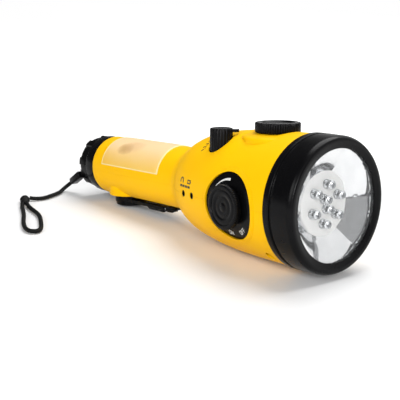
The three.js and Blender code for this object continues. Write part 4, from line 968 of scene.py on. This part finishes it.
# Printed marks, a hair proud of the surface that carries them
def printed(name, material, outlines, along, at, inset, depth=12):
    """The outlines stand in the plane across the direction, and follow the body's skin."""
    layer = cut(body_form(inset - 0.05), body_form(inset + 0.08))
    marks = [prism("mark", outline, -depth, 20, along, at) for outline in outlines]
    finish(common(layer, join(*marks)), name, material, limit=30)


def spun(x, y, degrees):
    """The point turned round the origin."""
    turn = math.radians(degrees)
    return Vector((
        x * math.cos(turn) - y * math.sin(turn), x * math.sin(turn) + y * math.cos(turn),
    ))


def arc_band(radius, start, end, first, last, steps=16):
    """A band along an arc, whose width changes from the first to the last."""
    inner, outer = [], []
    for i in range(steps + 1):
        angle = start + (end - start) * i / steps
        half = (first + (last - first) * i / steps) / 2
        inner.append(spun(radius - half, 0, angle))
        outer.append(spun(radius + half, 0, angle))
    return inner + outer[::-1]


STROKES = {
    "O": [((0, 0), (0, 1)), ((0, 1), (1, 1)), ((1, 1), (1, 0)), ((1, 0), (0, 0))],
    "F": [((0, 0), (0, 1)), ((0, 1), (1, 1)), ((0, 0.5), (0.8, 0.5))],
    "N": [((0, 0), (0, 1)), ((0, 1), (1, 0)), ((1, 0), (1, 1))],
}
LETTER, LETTER_WIDE, STROKE = 2.2, 0.62, 0.26  # height, width as a share of it, thickness


def letter(strokes, turn, place):
    """Straight strokes on a grid of one by one, as outlines at the place and turned."""
    out = []
    for (x0, y0), (x1, y1) in strokes:
        a, b = Vector((x0 * LETTER_WIDE, y0)) * LETTER, Vector((x1 * LETTER_WIDE, y1)) * LETTER
        along = (b - a).normalized() * STROKE / 2
        side = Vector((-along.y, along.x))
        corners = [a - along - side, b + along - side, b + along + side, a - along + side]
        out.append([place + spun(*corner, turn) for corner in corners])
    return out


def word(text, radius, middle):
    """A word along a circle, with its letters' feet turned outwards."""
    out = []
    step = math.degrees(LETTER * 0.95 / radius)
    for i, name in enumerate(text):
        angle = middle + (i - (len(text) - 1) / 2) * step
        turn = angle + 90
        foot = spun(-LETTER_WIDE / 2 * LETTER, -0.5 * LETTER, turn)
        out += letter(STROKES[name], turn, spun(radius, 0, angle) + foot)
    return out


def make_prints():
    marks = [arc_band(15.7, 90, 138, 1.5, 0.25)] + word("OFF", 16.4, -57) + word("ON", 16.4, -97)
    printed("volume_marks", PRINT_WHITE, marks, SIDE_OUT, SIDE_AT, 0.6)

    # Earphone and charging signs over the two sockets, and dashes under them
    hoop = arc_band(1.7, 0, 180, 0.9, 0.9)
    earphone = [hoop, bar(-2.3, -1.2, -1.2, 0.2), bar(1.2, -1.2, 2.3, 0.2)]
    plug = [
        bar(-2.1, -1.3, 1.6, -0.6), bar(-2.1, 0.6, 1.6, 1.3), bar(-2.1, -0.59, -1.4, 0.59),
        bar(0.9, -0.59, 1.6, 0.59), bar(1.61, -0.5, 2.2, 0.5),
    ]
    middle = 139
    marks = []
    for x, sign in ((134.6, earphone), (143.8, plug)):
        marks += [[(u + x - middle, v) for u, v in outline] for outline in sign]
    marks += [bar(-6.4 + 3.3 * i, -3.9, -3.7 + 3.3 * i, -2.5) for i in range(4)]
    printed("socket_marks", PRINT_BLACK, marks, JACK_OUT, (middle, -34, 6.4), 0, 10)

    # An arc with four ticks beside the function selector
    marks = [arc_band(11.1, 262, 293, 0.4, 0.4)]
    for turn in (262, 272.5, 283, 293):
        marks.append(arc_band(12.6, turn - 1.6, turn + 1.6, 1.9, 1.9, 2))
    printed("function_marks", PRINT_BLACK, marks, UP, (SELECT_X, SELECT_Y, 25), 0, 8)


make_prints()


# Crank
def swept(outline, rows):
    """An upright prism whose outline grows or shrinks from row to row. Outlines are in x and y."""
    count = len(outline)
    area = sum(a[0] * b[1] - b[0] * a[1] for a, b in zip(outline, outline[1:] + outline[:1]))
    normals = []
    for i in range(count):
        before, after = Vector(outline[i - 1]), Vector(outline[(i + 1) % count])
        here = Vector(outline[i])
        first, second = (here - before).normalized(), (after - here).normalized()
        n1, n2 = Vector((first.y, -first.x)), Vector((second.y, -second.x))
        n = (n1 + n2).normalized()
        scale = 1 / max(0.35, n.dot(n1))
        normals.append(n * scale * (1 if area > 0 else -1))
    return stacked("swept", [
        [Vector((x + n.x * out, y + n.y * out, z)) for (x, y), n in zip(outline, normals)]
        for z, out in rows
    ])


def make_crank():
    low = HUB_Z + 2.5
    top = FLAT_Z - GAP
    hub = rounded([
        (top, 0), (top, 11.6, 0.3), (low, 11.6, 0.9), (low, 11.0, 0.2), (HUB_Z, 10.9, 1.0),
        (HUB_Z, 6.2, 0.4), (HUB_Z + 0.5, 5.6, 0.3), (HUB_Z + 0.5, 4.3, 0.3), (HUB_Z, 3.8, 0.2),
        (HUB_Z, 0),
    ], 0.5, 5)
    arm_hub = polar("hub", hub, 128, UP, BOSS_AT)
    half, tip = 9, BOSS_X + 47.5
    outline = [(BOSS_X, -half)]
    for k in range(33):
        a = math.pi * k / 32
        outline.append((tip + half * math.sin(a), -half * math.cos(a)))
    outline.append((BOSS_X, half))
    bottom = ARM_TOP - ARM_W
    arm = swept(outline, [
        (ARM_TOP, -0.4), (ARM_TOP - 0.15, -0.12), (ARM_TOP - 0.45, 0), (bottom + 0.45, 0),
        (bottom + 0.15, -0.12), (bottom, -0.4),
    ])
    slot = rounded(bar(HINGE_X - 28.8, -3.85, HINGE_X + 3.8, 3.85), 0.8, 5, True)
    opening = swept(slot, [
        (ARM_TOP + 1, 0.4), (ARM_TOP, 0.4), (ARM_TOP - 0.4, 0), (bottom + 0.4, 0),
        (bottom, 0.4), (bottom - 1, 0.4),
    ])
    cut(arm, opening)
    cut(arm, rod(-8.5, 8.5, 0.82, (0, 1, 0), (HINGE_X, 0, HINGE_Z), 24))
    join(arm_hub, arm)
    cut(arm_hub, rod(-WIDE, HUB_Z + 2.4, 3.6, UP, BOSS_AT, 64))
    cut(arm_hub, rod(-WIDE, 0, SCREW_BORE, UP, BOSS_AT, 24))
    cut(arm_hub, rod(top - 3.3, 0, 3.15, UP, BOSS_AT, 48))
    finish(arm_hub, "crank_lever", BLACK, "crank_arm", "crank")

    start, end = 10.5, 27.2
    profile = [(start, 1.75), (start, 2.8, 0.3), (start + 0.9, 3.3, 0.5)]
    for i in range(2):
        middle = start + (end - start) * (i + 1) / 3
        profile += [(middle - 0.6, 3.3, 0.2), (middle, 2.95, 0.2), (middle + 0.6, 3.3, 0.2)]
    profile += [(end - 0.9, 3.3, 0.5), (end, 2.8, 0.3), (end, 1.75)]
    profile = rounded(profile, 0.2, 4, True)
    grip = polar("grip", profile, 64, (-1, 0, 0), (HINGE_X, 0, GRIP_Z))
    finish(grip, "crank_grip", BLACK, "grip", "knob", 40)


make_crank()


# Tail cap
LOBES, LOBE_TURN, LOBE_HALF, LOBE_OUT = 8, math.radians(37), 2.4, 1.25
CAP_BACK, CAP_GRIP, COLLAR_R = -4.2, 19.0, 20.6


def lobes(angle):
    """How far the cap's grip stands out at the angle: eight lobes with soft sides."""
    step = TAU / LOBES
    off = (angle - LOBE_TURN + step / 2) % step - step / 2
    side = min(1.0, max(0.0, 1 - (abs(off) * CAP_GRIP - LOBE_HALF) / 0.6))
    return LOBE_OUT * side * side * (3 - 2 * side)


def make_cap():
    x, r, collar = CAP_BACK, CAP_GRIP, COLLAR_R
    wall = [
        (x, 0), (x, 8.0), (x, 13.0), (x, r - 1.6), (x + 0.12, r - 1.0, 0.1),
        (x + 0.5, r - 0.45, 0.35), (x + 1.0, r - 0.12, 0.7), (x + 1.6, r, 1), (x + 4, r, 1),
        (x + 8.6, r, 1), (x + 9.2, r, 0.8), (x + 9.5, r, 0.3), (x + 9.6, r), (6.2, r),
        (6.35, r + 0.15), (6.4, collar - 0.4), (6.55, collar - 0.1), (6.9, collar + 0.1),
        (7.4, collar + 0.2), (11.6, collar + 0.2),
        (TAIL_X - 0.9, collar + 0.2), (TAIL_X - 0.5, collar + 0.1), (TAIL_X - 0.3, collar - 0.2),
        (TAIL_X - 0.3, 18.5), (17, 18.5), (17, 17.3), (19, 17.3), (19, 18.5),
        (21.6, 18.5), (21.6, 16.5), (14.4, 16.5), (14.4, 0),
    ]
    cap = polar("cap", wall, 360, ripple=lobes)
    eye = rounded([
        (-2.8, -18.2), (-2.8, -14.0), (-4.2, -14.0), (-5.4, -14.6), (-5.4, -17.6), (-4.2, -18.2),
    ], 0.5, 4, True)
    join(cap, prism("eye", eye, -8.7, -4.4))
    cut(cap, rod(-20, 0, 0.6, UP, (-4.75, -16.2, 0), 24))
    finish(cap, "tail_screw_cap", BLACK, "tail_cap", "tail_cap", 38)


make_cap()


# CAD nodes that keep their own shape
def keep_nodes():
    for material, names in (
        (STEEL, "shell_screw_neck shell_screw_rear_left shell_screw_rear_right "
                "shell_screw_front_left shell_screw_front_right volume_control dynamo_rotor "
                "gear_plate crank_screw hinge_pin"),
        (CELL, "battery_cell_1 battery_cell_2 battery_cell_3"),
        (BRASS, "front_contact tail_contact crank_bushing"),
        (COPPER, "dynamo_stator"),
        (NYLON, "tuning_capacitor function_switch battery_tray crank_gear idler_gear"),
        (BLACK, "jack_socket_1 jack_socket_2 speaker grip_spindle"),
        (RUBBER, "lens_seal cap_seal ferrite_rod"),
        (CREAM, "lantern_led_1 lantern_led_2"),
        (WHITE, "lantern_board"),
        (GREEN, "main_board"),
    ):
        for name in names.split():
            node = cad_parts[name]
            node.data.materials.clear()
            node.data.materials.append(material)
            for polygon in node.data.polygons:
                polygon.material_index = 0


keep_nodes()


# Floor, backdrop and light
WORLD_FILL, WORLD_GLOSS = 0.23, 0.95
FLOOR_HALF, FLOOR_Z = 6.0, -0.0002


def make_world():
    """White to the camera. Soft and even to everything else, with a dark side that gloss shows."""
    world = bpy.data.worlds.new("world")
    bpy.context.scene.world = world
    tree = Tree(world)
    place = tree.node("TexCoord").outputs["Generated"]
    rays = tree.node("LightPath").outputs

    def towards(direction, low, high, first, second):
        """A level that changes softly with the angle to the direction."""
        product = tree.node("VectorMath", operation="DOT_PRODUCT")
        tree.links.new(place, product.inputs[0])
        product.inputs[1].default_value = Vector(direction).normalized()
        value = product.outputs["Value"]
        return tree.spread(value, first, second, (low, high), interpolation_type="SMOOTHSTEP")

    tail, front = (-0.8, -0.55, 0.25), (1, 0.08, 0.2)
    dark = tree.math(
        "MULTIPLY", towards(tail, -0.2, 0.5, 1.0, 0.12), towards(front, 0.86, 0.97, 1.0, 0.3),
    )
    gloss = tree.math("MULTIPLY", dark, WORLD_GLOSS)
    lit = tree.mix(rays["Is Glossy Ray"], WORLD_FILL, gloss, "FLOAT")
    white = tree.math("MAXIMUM", rays["Is Camera Ray"], rays["Is Transmission Ray"])
    level = tree.mix(white, lit, 1.0, "FLOAT")
    background = tree.node("Background", Strength=level, Color=(1, 1, 1, 1))
    tree.links.new(background.outputs[0], tree.node("OutputWorld").inputs["Surface"])


def make_stage():
    tree = Surface("floor")
    rays = tree.node("LightPath")
    seen = tree.math("MAXIMUM", rays.outputs["Is Camera Ray"], rays.outputs["Is Glossy Ray"])
    seen = tree.math("MAXIMUM", seen, rays.outputs["Is Transmission Ray"])
    grain = tree.noise(40, 3)
    pale = tree.mix(grain, (0.87, 0.87, 0.87, 1), (0.89, 0.89, 0.89, 1))
    tree.set(Base_Color=pale, Roughness=0.4, Specular_IOR_Level=0.35)
    away = tree.node("VectorMath", operation="LENGTH")
    tree.links.new(tree.place, away.inputs[0])
    glow = tree.spread(away.outputs["Value"], 0.06, 0.8, (0.2, 0.6))
    tree.set(Emission_Color=(1, 1, 1, 1), Emission_Strength=tree.math("MULTIPLY", seen, glow))
    corners = bar(-FLOOR_HALF, -FLOOR_HALF, FLOOR_HALF, FLOOR_HALF)
    floor = made("floor", [(x, y, 0) for x, y in corners], [(0, 1, 2, 3)])
    floor.data.materials.append(tree.material)
    floor.location.z = FLOOR_Z

    make_world()

    def lamp(name, place, target, size, power):
        data = bpy.data.lights.new(name, "AREA")
        data.shape = "DISK"
        data.size = size
        data.energy = power
        light = bpy.data.objects.new(name, data)
        bpy.context.scene.collection.objects.link(light)
        light.location = place
        light.rotation_euler = (Vector(target) - Vector(place)).to_track_quat("-Z", "Y").to_euler()

    lamp("top_light", (-0.05, 0.35, 0.95), (0, 0, 0.03), 0.9, 10.5)
    lamp("side_light", (0.2, -1.0, 0.5), (0, 0, 0.04), 0.6, 4.5)
    lamp("front_light", (0.95, -0.65, 0.5), (0.1, 0, 0.04), 0.35, 6.0)
    bpy.context.scene.view_settings.view_transform = "Standard"


make_stage()
